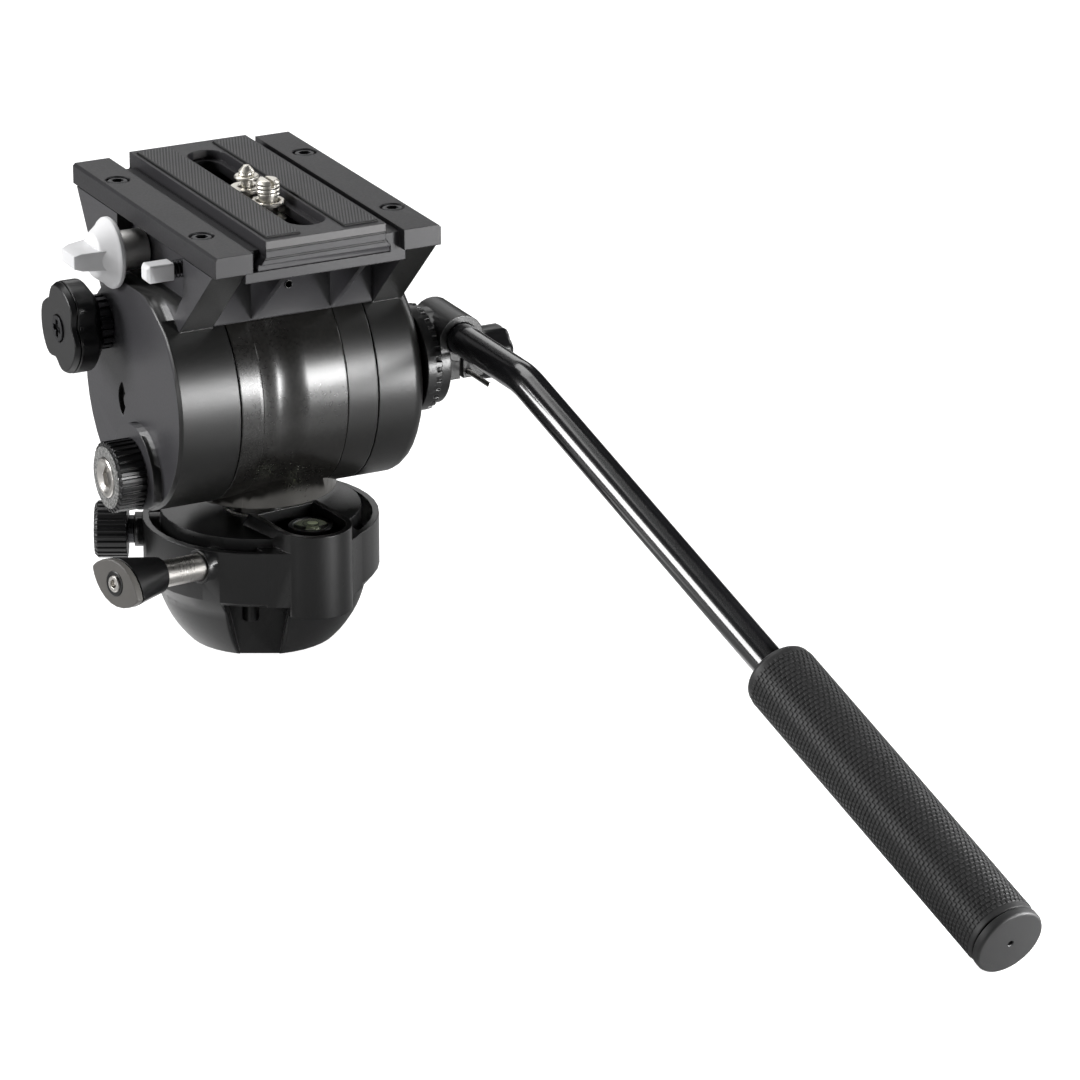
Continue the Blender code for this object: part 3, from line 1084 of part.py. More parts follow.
def make_plate():
    carrier = body("plate", (0, 0, DECK_TOP))
    left = plate_side(-1, 0)
    right = plate_side(1, 0)
    outline = [left[0], right[0], right[1], right[2], (PLATE_HALF_WIDTH, PLATE_TOP),
               (-PLATE_HALF_WIDTH, PLATE_TOP), left[2], left[1]]
    slab = prism(outline, -PLATE_HALF_LENGTH, PLATE_HALF_LENGTH, "XZ")
    plate = add("camera_plate", slab, carrier, black_casting)
    ledge = PLATE_TOP - SLOT_LEDGE_DEPTH
    foot = DECK_TOP + FIT_GAP
    for name, width, low, high in (
        ("slot_top", SLOT_WIDTH, ledge, PLATE_TOP + OVERRUN),
        ("slot_neck", SLOT_NECK_WIDTH, foot - OVERRUN, PLATE_TOP + OVERRUN),
        ("slot_heads", HEAD_CHANNEL_WIDTH, foot - OVERRUN, foot + HEAD_CHANNEL_DEPTH),
    ):
        run = SLOT_HALF_LENGTH - SLOT_WIDTH / 2
        ends = arc((0, run), width / 2, 0, math.pi, END_STEPS)
        ends += arc((0, -run), width / 2, math.pi, 2 * math.pi, END_STEPS)
        cut(plate, cutter(name, prism(ends, low, high), carrier))
    for name, sign in (("front", -1), ("rear", 1)):
        wide = PLATE_HALF_WIDTH + PLATE_FLANGE + OVERRUN
        inner, outer = sign * (PLATE_HALF_LENGTH - PLATE_END_STEP), sign * (PLATE_HALF_LENGTH + OVERRUN)
        start, end = sorted((inner, outer))
        step = block((-wide, start, foot - OVERRUN), (wide, end, foot + PLATE_END_STEP_HEIGHT))
        cut(plate, cutter(f"end_step_{name}", step, carrier))
    pad_middle = PLATE_HALF_WIDTH - PAD_INSET - PAD_WIDTH / 2
    for name, sign in (("left", -1), ("right", 1)):
        middle = sign * pad_middle
        low = (middle - PAD_WIDTH / 2 - FIT_GAP, -PAD_HALF_LENGTH - FIT_GAP, PLATE_TOP - PAD_SINK)
        high = (middle + PAD_WIDTH / 2 + FIT_GAP, PAD_HALF_LENGTH + FIT_GAP, PLATE_TOP + OVERRUN)
        cut(plate, cutter(f"pad_seat_{name}", block(low, high), carrier))
        pad_foot = PLATE_TOP - PAD_SINK + FIT_GAP
        low = (middle - PAD_WIDTH / 2, -PAD_HALF_LENGTH, pad_foot)
        high = (middle + PAD_WIDTH / 2, PAD_HALF_LENGTH, pad_foot + PAD_THICKNESS)
        add(f"{name}_pad", block(low, high), carrier, black_rubber)


def make_camera_screw(name, radius, head_radius, place, coin_slot):
    """A screw from below with the washer that holds it in the slot."""
    axis = (0, place, 0)
    rider = body(f"{name}_slide", (0, place, DECK_TOP))
    ledge = PLATE_TOP - SLOT_LEDGE_DEPTH + FIT_GAP
    washer = sleeve(radius + FIT_GAP, WASHER_RADIUS, ledge, ledge + WASHER_THICKNESS)
    add(f"{name}_washer", washer, rider, bright_steel, axis)
    turner = body(f"{name}_turn", (0, place, DECK_TOP))
    head_top = DECK_TOP + HEAD_CHANNEL_DEPTH
    head_foot = head_top - CAMERA_SCREW_HEAD_HEIGHT
    top = PLATE_TOP + CAMERA_SCREW_RISE
    screw = turned([
        (0, head_foot), (head_radius, head_foot), (head_radius, head_top), (radius, head_top),
        (radius, top - CAMERA_SCREW_LEAD), (radius * CAMERA_SCREW_TIP_SHARE, top), (0, top),
    ], SMALL_STEPS)
    obj = add(f"{name}_screw", screw, turner, bright_steel, axis)
    if coin_slot:
        half = SCREW_SLOT_WIDTH / 2
        slot = block((-half, -head_radius, top - SCREW_SLOT_DEPTH), (half, head_radius, top + OVERRUN))
        cut(obj, cutter(f"{name}_slot", slot, turner, axis))


def make_clamp():
    jaw_body = body("clamp_jaw_slide", (-JAW_OUTER, 0, DECK_TOP))
    side = plate_side(-1, FIT_GAP)
    outline = [
        (-JAW_OUTER, DECK_TOP + FIT_GAP), side[0], side[1], side[2],
        (side[2][0], LIP_TOP), (-JAW_OUTER, LIP_TOP),
    ]
    add("clamp_jaw", prism(outline, -JAW_HALF_LENGTH, JAW_HALF_LENGTH, "XZ"), jaw_body, black_casting)

    place = Vector((CLAMP_COLLAR_OUTER, CLAMP_SIDE, CLAMP_HEIGHT))
    carrier = body("clamp_knob_turn", place)
    pocket_floor = -CHEEK_OUTER + CHEEK_POCKET_DEPTH
    collar_foot = CLAMP_COLLAR_OUTER - pocket_floor + FIT_GAP
    stem_foot = CLAMP_COLLAR_OUTER - CLAMP_STEM_INNER
    stem_top = CLAMP_SOCKET_DEPTH - FIT_GAP
    shaft = turned([
        (0, stem_foot), (CLAMP_STEM_RADIUS, stem_foot), (CLAMP_STEM_RADIUS, collar_foot),
        (CLAMP_COLLAR_RADIUS, collar_foot), (CLAMP_COLLAR_RADIUS, 0), (CLAMP_STEM_RADIUS, 0),
        (CLAMP_STEM_RADIUS, stem_top), (0, stem_top),
    ], SMALL_STEPS)
    add("clamp_shaft", shaft, carrier, bright_steel, place, facing_left())
    dome_top = FIT_GAP + CLAMP_FLANGE_LENGTH + CLAMP_DOME_LENGTH
    flange_top = FIT_GAP + CLAMP_FLANGE_LENGTH
    knob = turned([
        (0, FIT_GAP), (CLAMP_FLANGE_RADIUS, FIT_GAP),
        (CLAMP_FLANGE_RADIUS, flange_top - CLAMP_FLANGE_LENGTH / 3),
        (CLAMP_FLANGE_RADIUS - CLAMP_FLANGE_LENGTH / 3, flange_top),
        ((CLAMP_FLANGE_RADIUS + CLAMP_DOME_RADIUS) / 2, flange_top + CLAMP_DOME_LENGTH / 3),
        (CLAMP_DOME_RADIUS, dome_top), (0, dome_top),
    ])
    knob_obj = add("clamp_knob", knob, carrier, white_plastic, place, facing_left())
    rings = []
    for height, width in (
        (FIT_GAP + CLAMP_FLANGE_LENGTH / 2, CLAMP_WING_ROOT_WIDTH), (CLAMP_WING_LENGTH, CLAMP_WING_TIP_WIDTH)
    ):
        half, thick = width / 2, CLAMP_WING_THICKNESS / 2
        corners = [(-thick, -half), (thick, -half), (thick, half), (-thick, half)]
        rings.append(scaled(corners, 1, height))
    join(knob_obj, cutter("clamp_wing_form", stacked(rings), carrier, place, facing_left()))
    socket = rod(CLAMP_STEM_RADIUS + FIT_GAP, -OVERRUN, CLAMP_SOCKET_DEPTH)
    cut(knob_obj, cutter("clamp_socket", socket, carrier, place, facing_left()))


def make_button():
    place = Vector((BUTTON_INNER, BUTTON_SIDE, BUTTON_HEIGHT))
    carrier = body("release_slide", place)
    half, tall = BUTTON_WIDTH / 2, BUTTON_TALL / 2
    length = BUTTON_INNER - BUTTON_OUTER
    rings = []
    for height, inset in ((0, 0), (length - BUTTON_EDGE, 0), (length, BUTTON_EDGE)):
        a, b = tall - inset, half - inset
        e = BUTTON_EDGE / 2
        rings.append([
            (-a + e, -b, height), (a - e, -b, height), (a, -b + e, height), (a, b - e, height),
            (a - e, b, height), (-a + e, b, height), (-a, b - e, height), (-a, -b + e, height),
        ])
    button = add("release_button", stacked(rings), carrier, white_plastic, place, facing_left())
    socket_depth = BUTTON_STEM_RADIUS + BUTTON_EDGE
    socket = rod(BUTTON_STEM_RADIUS + FIT_GAP, -OVERRUN, socket_depth)
    cut(button, cutter("button_socket", socket, carrier, place, facing_left()))
    stem = rod(BUTTON_STEM_RADIUS, BUTTON_INNER - BUTTON_STEM_INNER, socket_depth - FIT_GAP, SMALL_STEPS)
    add("release_stem", stem, carrier, bright_steel, place, facing_left())
    floor = -CHEEK_OUTER + CHEEK_POCKET_DEPTH
    start = BUTTON_INNER - floor + FIT_GAP + BUTTON_SPRING_WIRE
    end = -FIT_GAP - BUTTON_SPRING_WIRE
    radius = BUTTON_STEM_RADIUS + FIT_GAP + BUTTON_SPRING_WIRE + FIT_GAP + BUTTON_SPRING_WIRE
    spring = coil(radius, BUTTON_SPRING_WIRE, BUTTON_SPRING_TURNS, start, end, SPRING_POINTS_PER_TURN)
    add("button_spring", spring, tilt_head, bright_steel, place, facing_left())


def make_tilt_lock():
    place = Vector((LEFT_FACE, LOCK_SIDE, LOCK_HEIGHT))
    carrier = body("tilt_lock_turn", place)
    turn = facing_left()
    ratchet_top = FIT_GAP + LOCK_RATCHET_LENGTH
    outline = ridged(LOCK_RATCHET_RADIUS, LOCK_RATCHET_DEPTH, LOCK_RATCHET_TEETH)
    ratchet = add("tilt_lock_ratchet", prism(outline, FIT_GAP, ratchet_top), carrier, dark_steel, place, turn)
    bore = rod(LOCK_STEM_RADIUS + FIT_GAP, -OVERRUN, ratchet_top + OVERRUN)
    cut(ratchet, cutter("ratchet_bore", bore, carrier, place, turn))
    foot = ratchet_top + FIT_GAP
    top = foot + LOCK_KNOB_LENGTH
    outline = lobed(LOCK_KNOB_RADIUS, LOCK_KNOB_SCALLOP_SHARE, LOCK_KNOB_LOBES, LOCK_SCALLOP_ANGLE,
                    LOBE_SHARPNESS, LOBE_POINTS)
    rings = [scaled(outline, LOCK_KNOB_FOOT_SHARE, foot), scaled(outline, 1, foot + LOCK_KNOB_LENGTH / 3),
             scaled(outline, 1, top)]
    knob = add("tilt_lock_knob", stacked(rings), carrier, black_plastic, place, turn)
    bore = rod(LOCK_STEM_RADIUS + FIT_GAP, foot - OVERRUN, top + OVERRUN)
    cut(knob, cutter("lock_knob_bore", bore, carrier, place, turn))
    cover_foot = top + FIT_GAP
    cover_top = cover_foot + LOCK_COVER_LENGTH
    rings = [scaled(outline, 1, cover_foot), scaled(outline, LOCK_COVER_SHARE, cover_top)]
    cover = add("tilt_lock_cover", stacked(rings), carrier, black_plastic, place, turn)
    sink = rod(LOCK_SCREW_RADIUS + FIT_GAP, cover_foot - OVERRUN, cover_top + OVERRUN)
    cut(cover, cutter("lock_cover_bore", sink, carrier, place, turn))
    screw_top = cover_top + LOCK_SCREW_RISE
    screw = turned([
        (0, -LOCK_STEM_DEPTH), (LOCK_STEM_RADIUS, -LOCK_STEM_DEPTH), (LOCK_STEM_RADIUS, cover_foot),
        (LOCK_SCREW_RADIUS, cover_foot), (LOCK_SCREW_RADIUS, screw_top), (0, screw_top),
    ], SMALL_STEPS)
    screw_obj = add("tilt_lock_screw", screw, carrier, dark_steel, place, turn)
    arm = LOCK_SCREW_RADIUS * CROSS_ARM_SHARE
    half = arm * CROSS_WIDTH_SHARE
    for name, low, high in (("a", (-arm, -half), (arm, half)), ("b", (-half, -arm), (half, arm))):
        shape = block((*low, screw_top - SOCKET_DEPTH), (*high, screw_top + OVERRUN))
        cut(screw_obj, cutter(f"cross_{name}", shape, carrier, place, turn))


def make_tilt_drag():
    place = Vector((LEFT_FACE - DRAG_BOSS_HEIGHT, DRAG_SIDE, DRAG_HEIGHT))
    carrier = body("tilt_drag_turn", place)
    turn = facing_left()
    foot = FIT_GAP
    top = foot + DRAG_LENGTH
    outline = ridged(DRAG_RADIUS, DRAG_RIDGE_DEPTH, DRAG_RIDGES)
    edge = DRAG_RIDGE_DEPTH
    shrunk = (DRAG_RADIUS - edge - edge) / DRAG_RADIUS
    rings = [scaled(outline, 1, foot), scaled(outline, 1, top - edge), scaled(outline, shrunk, top)]
    knob = add("tilt_drag_knob", stacked(rings), carrier, black_plastic, place, turn)
    bore = rod(DRAG_STEM_RADIUS + FIT_GAP, -OVERRUN, top + OVERRUN)
    cut(knob, cutter("drag_knob_bore", bore, carrier, place, turn))
    ring_foot = top - DRAG_RING_DEPTH
    sink = rod(DRAG_RING_RADIUS + FIT_GAP, ring_foot, top + OVERRUN)
    cut(knob, cutter("drag_knob_sink", sink, carrier, place, turn))
    ring_top = top + DRAG_RING_RISE
    ring = turned([
        (0, -DRAG_STEM_DEPTH), (DRAG_STEM_RADIUS, -DRAG_STEM_DEPTH), (DRAG_STEM_RADIUS, ring_foot + FIT_GAP),
        (DRAG_RING_RADIUS, ring_foot + FIT_GAP), (DRAG_RING_RADIUS, ring_top - edge / 2),
        (DRAG_RING_RADIUS - edge / 2, ring_top), (0, ring_top),
    ], SMALL_STEPS)
    bolt = add("tilt_drag_bolt", ring, carrier, bright_steel, place, turn)
    socket = prism(polygon(DRAG_SOCKET_RADIUS, HEX_SIDES), ring_foot + SOCKET_DEPTH, ring_top + OVERRUN)
    cut(bolt, cutter("drag_socket", socket, carrier, place, turn))


def make_rosette():
    place = (0, ROSETTE_SIDE, ROSETTE_HEIGHT)
    start = RIGHT_FACE + FIT_GAP
    end = start + ROSETTE_LENGTH
    teeth = ridged(ROSETTE_RADIUS, ROSETTE_TOOTH, ROSETTE_TEETH)
    rosette = add("bar_rosette", prism(teeth, end - ROSETTE_RIM_LENGTH, end), tilt_head, black_casting,
                  place, facing_right())
    disc = rod(ROSETTE_RADIUS, start, end - ROSETTE_RIM_LENGTH + FIT_GAP, ROUND_STEPS)
    join(rosette, cutter("rosette_disc", disc, tilt_head, place, facing_right()))
    bore = rod(STUD_RADIUS + FIT_GAP, start - OVERRUN, end + OVERRUN)
    cut(rosette, cutter("rosette_bore", bore, tilt_head, place, facing_right()))
    bracket_start = end + FIT_GAP
    stud_end = bracket_start + BRACKET_DISC_LENGTH - RUNNING_GAP
    stud = rod(STUD_RADIUS, STUD_INNER, stud_end)
    add("bracket_stud", stud, tilt_head, bright_steel, place, facing_right())
    nut_end = RIGHT_FACE - CAP_WALL - FIT_GAP
    nut = prism(polygon(STUD_NUT_RADIUS, HEX_SIDES), nut_end - STUD_NUT_LENGTH, nut_end)
    nut_obj = add("stud_nut", nut, tilt_head, bright_steel, place, facing_right())
    nut_start = nut_end - STUD_NUT_LENGTH
    nut_bore = rod(STUD_RADIUS + FIT_GAP, nut_start - OVERRUN, nut_end + OVERRUN)
    cut(nut_obj, cutter("stud_nut_bore", nut_bore, tilt_head, place, facing_right()))


def make_bracket():
    place = Vector((0, ROSETTE_SIDE, ROSETTE_HEIGHT))
    carrier = body("bar_swing", place)
    start = RIGHT_FACE + FIT_GAP + ROSETTE_LENGTH + FIT_GAP
    end = start + BRACKET_DISC_LENGTH
    bracket = add("bar_bracket", rod(BRACKET_DISC_RADIUS, start, end, ROUND_STEPS), carrier, black_casting,
                  place, facing_right())
    axis = (BAR_SIDE, 0, BAR_HEIGHT)
    near, far = -BARREL_NEAR, -BARREL_FAR
    barrel = turned([
        (0, far - BARREL_DOME), (BARREL_RADIUS * 2 / 3, far - BARREL_DOME),
        (BARREL_RADIUS, far), (BARREL_RADIUS, near), (0, near),
    ], GRIP_STEPS)
    join(bracket, cutter("barrel_form", barrel, carrier, axis, facing_operator()))
    inner = BAR_SIDE - EAR_HALF_WIDTH
    ears = block((start + BRACKET_DISC_LENGTH / 2, BARREL_NEAR + FIT_GAP, EAR_BOTTOM),
                 (BAR_SIDE + EAR_HALF_WIDTH, BARREL_NEAR + EAR_LENGTH, BAR_HEIGHT))
    join(bracket, cutter("ear_form", ears, carrier))
    web = block((start + BRACKET_DISC_LENGTH / 2, BARREL_NEAR + EAR_LENGTH - OVERRUN, ROSETTE_HEIGHT),
                (inner + BARREL_RADIUS / 2, -far, BAR_HEIGHT + BARREL_RADIUS / 2))
    join(bracket, cutter("web_form", web, carrier))
    bore = rod(TUBE_RADIUS + FIT_GAP, -BARREL_BORE_END, near + OVERRUN)
    cut(bracket, cutter("bar_bore", bore, carrier, axis, facing_operator()))
    slit = block((BAR_SIDE - EAR_SLIT / 2, BARREL_NEAR - OVERRUN, EAR_BOTTOM - OVERRUN),
                 (BAR_SIDE + EAR_SLIT / 2, BARREL_NEAR + EAR_LENGTH + OVERRUN, BAR_HEIGHT - TUBE_RADIUS / 2))
    cut(bracket, cutter("ear_slit", slit, carrier))
    bolt_place = Vector((0, COLLAR_BOLT_SIDE, COLLAR_BOLT_HEIGHT))
    bolt_out = BAR_SIDE + EAR_HALF_WIDTH + OVERRUN
    bolt_hole = rod(COLLAR_BOLT_RADIUS + FIT_GAP, COLLAR_BOLT_INNER - FIT_GAP, bolt_out)
    cut(bracket, cutter("collar_bolt_hole", bolt_hole, carrier, bolt_place, facing_right()))
    stud_hole = rod(STUD_RADIUS + FIT_GAP, start - OVERRUN, end - FIT_GAP)
    cut(bracket, cutter("bracket_stud_hole", stud_hole, carrier, place, facing_right()))
    pin_axis = (BAR_SIDE + PIN_OFFSET, 0, PIN_HEIGHT)
    pin_start = -BARREL_NEAR - PIN_DEPTH
    pin_hole = rod(PIN_RADIUS + FIT_GAP, pin_start - FIT_GAP, near + OVERRUN, PIN_STEPS)
    cut(bracket, cutter("pin_hole", pin_hole, carrier, pin_axis, facing_operator()))
    pin = rod(PIN_RADIUS, pin_start, pin_start + PIN_LENGTH, PIN_STEPS)
    add("retaining_pin", pin, carrier, bright_steel, pin_axis, facing_operator())

    knob_body = body("collar_knob_turn", bolt_place)
    foot = BAR_SIDE + BARREL_RADIUS + RUNNING_GAP
    top = foot + COLLAR_KNOB_LENGTH
    outline = lobed(COLLAR_KNOB_RADIUS, COLLAR_KNOB_SCALLOP_SHARE, COLLAR_KNOB_LOBES, 0,
                    COLLAR_LOBE_SHARPNESS, COLLAR_LOBE_POINTS)
    edge = COLLAR_KNOB_SCALLOP_SHARE
    rings = [scaled(outline, 1 - edge, foot), scaled(outline, 1, foot + COLLAR_KNOB_LENGTH / 6),
             scaled(outline, 1, top - COLLAR_KNOB_LENGTH / 6), scaled(outline, 1 - edge, top)]
    knob = add("collar_knob", stacked(rings), knob_body, black_plastic, bolt_place, facing_right())
    seat = foot + COLLAR_KNOB_LENGTH / 2
    knob_bore = rod(COLLAR_BOLT_RADIUS + FIT_GAP, foot - OVERRUN, seat)
    cut(knob, cutter("collar_knob_bore", knob_bore, knob_body, bolt_place, facing_right()))
    bolt = rod(COLLAR_BOLT_RADIUS, COLLAR_BOLT_INNER, seat - FIT_GAP)
    add("collar_bolt", bolt, knob_body, bright_steel, bolt_place, facing_right())


def bar_direction():
    """Where the bar points after its bend: back, down and a little outwards."""
    down = math.sin(BEND_ANGLE) * math.cos(BEND_ROLL)
    out = math.sin(BEND_ANGLE) * math.sin(BEND_ROLL)
    return Vector((out, -math.cos(BEND_ANGLE), -down))


def tube(points, outer, inner, sides):
    """A hollow tube along points, open at both ends."""
    shape = bmesh.new()
    walls = []
    for radius in (outer, inner):
        rings = []
        for i, point in enumerate(points):
            ahead = (points[min(i + 1, len(points) - 1)] - points[max(i - 1, 0)]).normalized()
            across = ahead.cross(Vector((0, 0, 1))).normalized()
            other = ahead.cross(across)
            ring = []
            for k in range(sides):
                angle = 2 * math.pi * k / sides
                offset = across * radius * math.cos(angle) + other * radius * math.sin(angle)
                ring.append(shape.verts.new(point + offset))
            rings.append(ring)
        for lower, upper in zip(rings, rings[1:]):
            ring_faces(shape, lower, upper)
        walls.append(rings)
    for end in (0, -1):
        ring_faces(shape, walls[0][end], walls[1][end])
    return shape


def make_bar():
    corner = Vector((BAR_SIDE, BEND_PLACE, BAR_HEIGHT))
    carrier = body("bar_twist", (BAR_SIDE, BARREL_NEAR, BAR_HEIGHT))
    before = Vector((0, -1, 0))
    after = bar_direction()
    reach = BEND_RADIUS * math.tan(BEND_ANGLE / 2)
    side = (after - before * after.dot(before)).normalized()
    centre = corner - before * reach + side * BEND_RADIUS
    points = [Vector((BAR_SIDE, BARREL_BORE_END - FIT_GAP, BAR_HEIGHT))]
    for i in range(BEND_STEPS + 1):
        angle = BEND_ANGLE * i / BEND_STEPS
        points.append(centre - side * BEND_RADIUS * math.cos(angle) + before * BEND_RADIUS * math.sin(angle))
    tube_end = GRIP_END - GRIP_END_CAP - FIT_GAP
    points.append(corner + after * tube_end)
    add("pan_bar_tube", tube(points, TUBE_RADIUS, TUBE_RADIUS - TUBE_WALL, TUBE_SIDES), carrier, black_gloss)

    turn = Vector((0, 0, 1)).rotation_difference(after).to_matrix()
    bore = TUBE_RADIUS + FIT_GAP
    grip_end = GRIP_END - GRIP_END_CAP
    lead = GRIP_ROUNDING
    start_arc = arc((GRIP_RADIUS - lead, GRIP_START + lead), lead, -QUARTER_TURN, 0, 4)
    profile = [(bore, GRIP_START)] + start_arc + [(GRIP_RADIUS, grip_end), (bore, grip_end)]
    add("rubber_grip", turned(profile, GRIP_STEPS, closed=True), carrier, black_rubber, corner, turn)
    cap_foot = grip_end + FIT_GAP
    plug = TUBE_RADIUS - TUBE_WALL - FIT_GAP
    edge = GRIP_END_CAP / 3
    hole_floor = GRIP_END - CAP_HOLE_DEPTH
    cap = turned([
        (0, cap_foot - CAP_PLUG_LENGTH), (plug, cap_foot - CAP_PLUG_LENGTH), (plug, cap_foot),
        (GRIP_RADIUS, cap_foot), (GRIP_RADIUS, GRIP_END - edge), (GRIP_RADIUS - edge, GRIP_END),
        (CAP_HOLE_RADIUS, GRIP_END), (CAP_HOLE_RADIUS, hole_floor), (0, hole_floor),
    ], GRIP_STEPS)
    add("grip_end_cap", cap, carrier, black_rubber, corner, turn)


make_base()
make_pan_drag_knob()
make_pan_lock()
make_pan_head()
make_left_cap()
make_right_cap()
make_platform()
make_rail_screws()
make_plate()
make_camera_screw("small_camera", SMALL_SCREW_RADIUS, SMALL_SCREW_HEAD_RADIUS, SMALL_SCREW_PLACE, False)
make_camera_screw("large_camera", LARGE_SCREW_RADIUS, LARGE_SCREW_HEAD_RADIUS, LARGE_SCREW_PLACE, True)
make_clamp()
make_button()
make_tilt_lock()
make_tilt_drag()
make_rosette()
make_bracket()
make_bar()
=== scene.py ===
"""Looks of the fluid video head: finishes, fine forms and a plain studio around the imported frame."""
import math

import bmesh
import bpy
from mathutils import Matrix, Vector
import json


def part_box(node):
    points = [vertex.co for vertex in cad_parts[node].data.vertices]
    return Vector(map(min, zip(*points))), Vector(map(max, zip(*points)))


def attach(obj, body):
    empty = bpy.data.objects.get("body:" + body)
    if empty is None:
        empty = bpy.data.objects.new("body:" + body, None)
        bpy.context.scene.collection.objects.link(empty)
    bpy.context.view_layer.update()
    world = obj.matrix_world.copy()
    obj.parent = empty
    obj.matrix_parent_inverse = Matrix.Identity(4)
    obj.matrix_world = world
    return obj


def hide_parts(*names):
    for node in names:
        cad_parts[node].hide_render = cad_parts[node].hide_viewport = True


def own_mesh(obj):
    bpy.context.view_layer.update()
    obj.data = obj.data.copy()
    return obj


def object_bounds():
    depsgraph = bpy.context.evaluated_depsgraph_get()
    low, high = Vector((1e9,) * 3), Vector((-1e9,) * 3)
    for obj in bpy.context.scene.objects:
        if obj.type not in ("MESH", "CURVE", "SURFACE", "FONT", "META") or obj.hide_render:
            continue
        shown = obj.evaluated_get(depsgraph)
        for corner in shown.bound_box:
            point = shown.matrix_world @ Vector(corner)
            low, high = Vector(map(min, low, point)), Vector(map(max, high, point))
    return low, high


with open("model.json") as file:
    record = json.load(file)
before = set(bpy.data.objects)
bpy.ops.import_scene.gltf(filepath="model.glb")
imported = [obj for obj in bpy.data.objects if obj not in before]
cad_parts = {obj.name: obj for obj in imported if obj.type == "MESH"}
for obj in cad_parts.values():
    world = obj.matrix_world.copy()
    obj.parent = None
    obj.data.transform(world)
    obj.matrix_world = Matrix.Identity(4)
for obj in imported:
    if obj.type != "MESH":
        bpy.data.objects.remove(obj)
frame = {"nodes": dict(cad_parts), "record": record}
cad_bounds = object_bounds()


# The base: a half ball with three finger pockets, a ring with a skirt, and a hollow nose that carries
# the level, all one aluminium casting. Its thin satin black paint has a fine grain that glitters a
# little, and it is rubbed thin and paler along the edges.
class Value:
    """One number or colour inside a material, written with plain arithmetic."""

    def __init__(self, finish, socket):
        self.finish = finish
        self.socket = socket

    def math(self, operation, *others):
        return self.finish.node("ShaderNodeMath", {"operation": operation}, (self, *others))

    def __add__(self, other):
        return self.math("ADD", other)

    def __sub__(self, other):
        return self.math("SUBTRACT", other)

    def __mul__(self, other):
        return self.math("MULTIPLY", other)

    def __rsub__(self, other):
        return self.math("MULTIPLY_ADD", -1, other)

    __radd__ = __add__
    __rmul__ = __mul__

    def ramp(self, low, high):
        """0 below low, 1 above high, smooth between."""
        settings = {"interpolation_type": "SMOOTHSTEP"}
        return self.finish.node("ShaderNodeMapRange", settings, (self, low, high, 0.0, 1.0))

    def band(self, low, high, edge):
        """1 between low and high, 0 outside, smooth over the edge."""
        return self.ramp(low - edge, low) - self.ramp(high, high + edge)


class Finish:
    """A material of one shader, whose varying inputs are Values."""

    def __init__(self, name, **constants):
        self.material = bpy.data.materials.new(name)
        self.material.use_nodes = True
        self.tree = self.material.node_tree
        self.shader = self.tree.nodes["Principled BSDF"]
        self.set(**constants)
        self.place = self.node("ShaderNodeTexCoord", {}, (), "Object")

    def node(self, kind, settings, inputs, output=0):
        node = self.tree.nodes.new(kind)
        for key, value in settings.items():
            setattr(node, key, value)
        pairs = inputs.items() if isinstance(inputs, dict) else enumerate(inputs)
        for key, value in pairs:
            self.feed(node.inputs[key], value)
        return Value(self, node.outputs[output])

    def feed(self, socket, value):
        if isinstance(value, Value):
            self.tree.links.new(value.socket, socket)
        else:
            socket.default_value = value

    def set(self, **inputs):
        for key, value in inputs.items():
            self.feed(self.shader.inputs[key.replace("_", " ")], value)

    def along(self, axis, vector=None):
        """One coordinate of the place, or of another vector."""
        return self.node("ShaderNodeSeparateXYZ", {}, (vector or self.place,), axis)

    def facing(self, axis):
        """How squarely the surface looks along an axis, either way."""
        normal = self.node("ShaderNodeNewGeometry", {}, (), "Normal")
        return self.along(axis, normal).math("ABSOLUTE")

    def noise(self, per_metre, detail=2.0, stretch=None):
        place = self.place
        if stretch:
            place = self.node("ShaderNodeVectorMath", {"operation": "MULTIPLY"}, (place, stretch))
        return self.node("ShaderNodeTexNoise", {}, {"Vector": place, "Scale": per_metre, "Detail": detail})

    def blend(self, factor, first, second):
        """Colour first where factor is 0, second where it is 1."""
        inputs = {0: factor}
        for key, colour in ((6, first), (7, second)):
            inputs[key] = colour if isinstance(colour, Value) else (*colour, 1.0)
        return self.node("ShaderNodeMix", {"data_type": "RGBA"}, inputs, 2)

    def clouded(self, cloud, shade, darkest, palest):
        """A shade that varies softly between two shares of itself."""
        return self.blend(cloud, tuple(darkest * c for c in shade), tuple(palest * c for c in shade))

    def bump(self, height, distance, strength=1.0, normal=None):
        inputs = {"Height": height, "Distance": distance, "Strength": strength}
        if normal:
            inputs["Normal"] = normal
        return self.node("ShaderNodeBump", {}, inputs)

    def eased(self, radius):
        """The surface direction with its edges rounded over."""
        return self.node("ShaderNodeBevel", {"samples": 6}, {"Radius": radius})

    def rounded(self, radius):
        """The eased surface direction, and how close an edge is."""
        eased = self.eased(radius)
        plain = self.node("ShaderNodeNewGeometry", {}, (), "Normal")
        along = self.node("ShaderNodeVectorMath", {"operation": "DOT_PRODUCT"}, (eased, plain), "Value")
        return eased, (1.0 - along).ramp(0.01, 0.25)


def satin_black(name, grain, gloss, shade, specular):
    finish = Finish(name, Specular_IOR_Level=specular)
    eased, edge = finish.rounded(0.0006)
    cloud = finish.noise(35, 3)
    speckle = finish.noise(1100, 3)
    worn = edge * finish.noise(260, 3).ramp(0.30, 0.75)
    bare = (0.11, 0.11, 0.11)
    finish.set(
        Base_Color=finish.blend(worn * 0.5, finish.clouded(cloud, shade, 0.75, 1.25), bare),
        Roughness=gloss + cloud * 0.08 + speckle * 0.14 - worn * 0.08,
        Metallic=worn * 0.25,
        Normal=finish.bump(speckle, grain, 0.4, eased),
    )
    return finish


def added(name, data):
    """A new object in the scene."""
    thing = bpy.data.objects.new(name, data)
    bpy.context.scene.collection.objects.link(thing)
    return thing


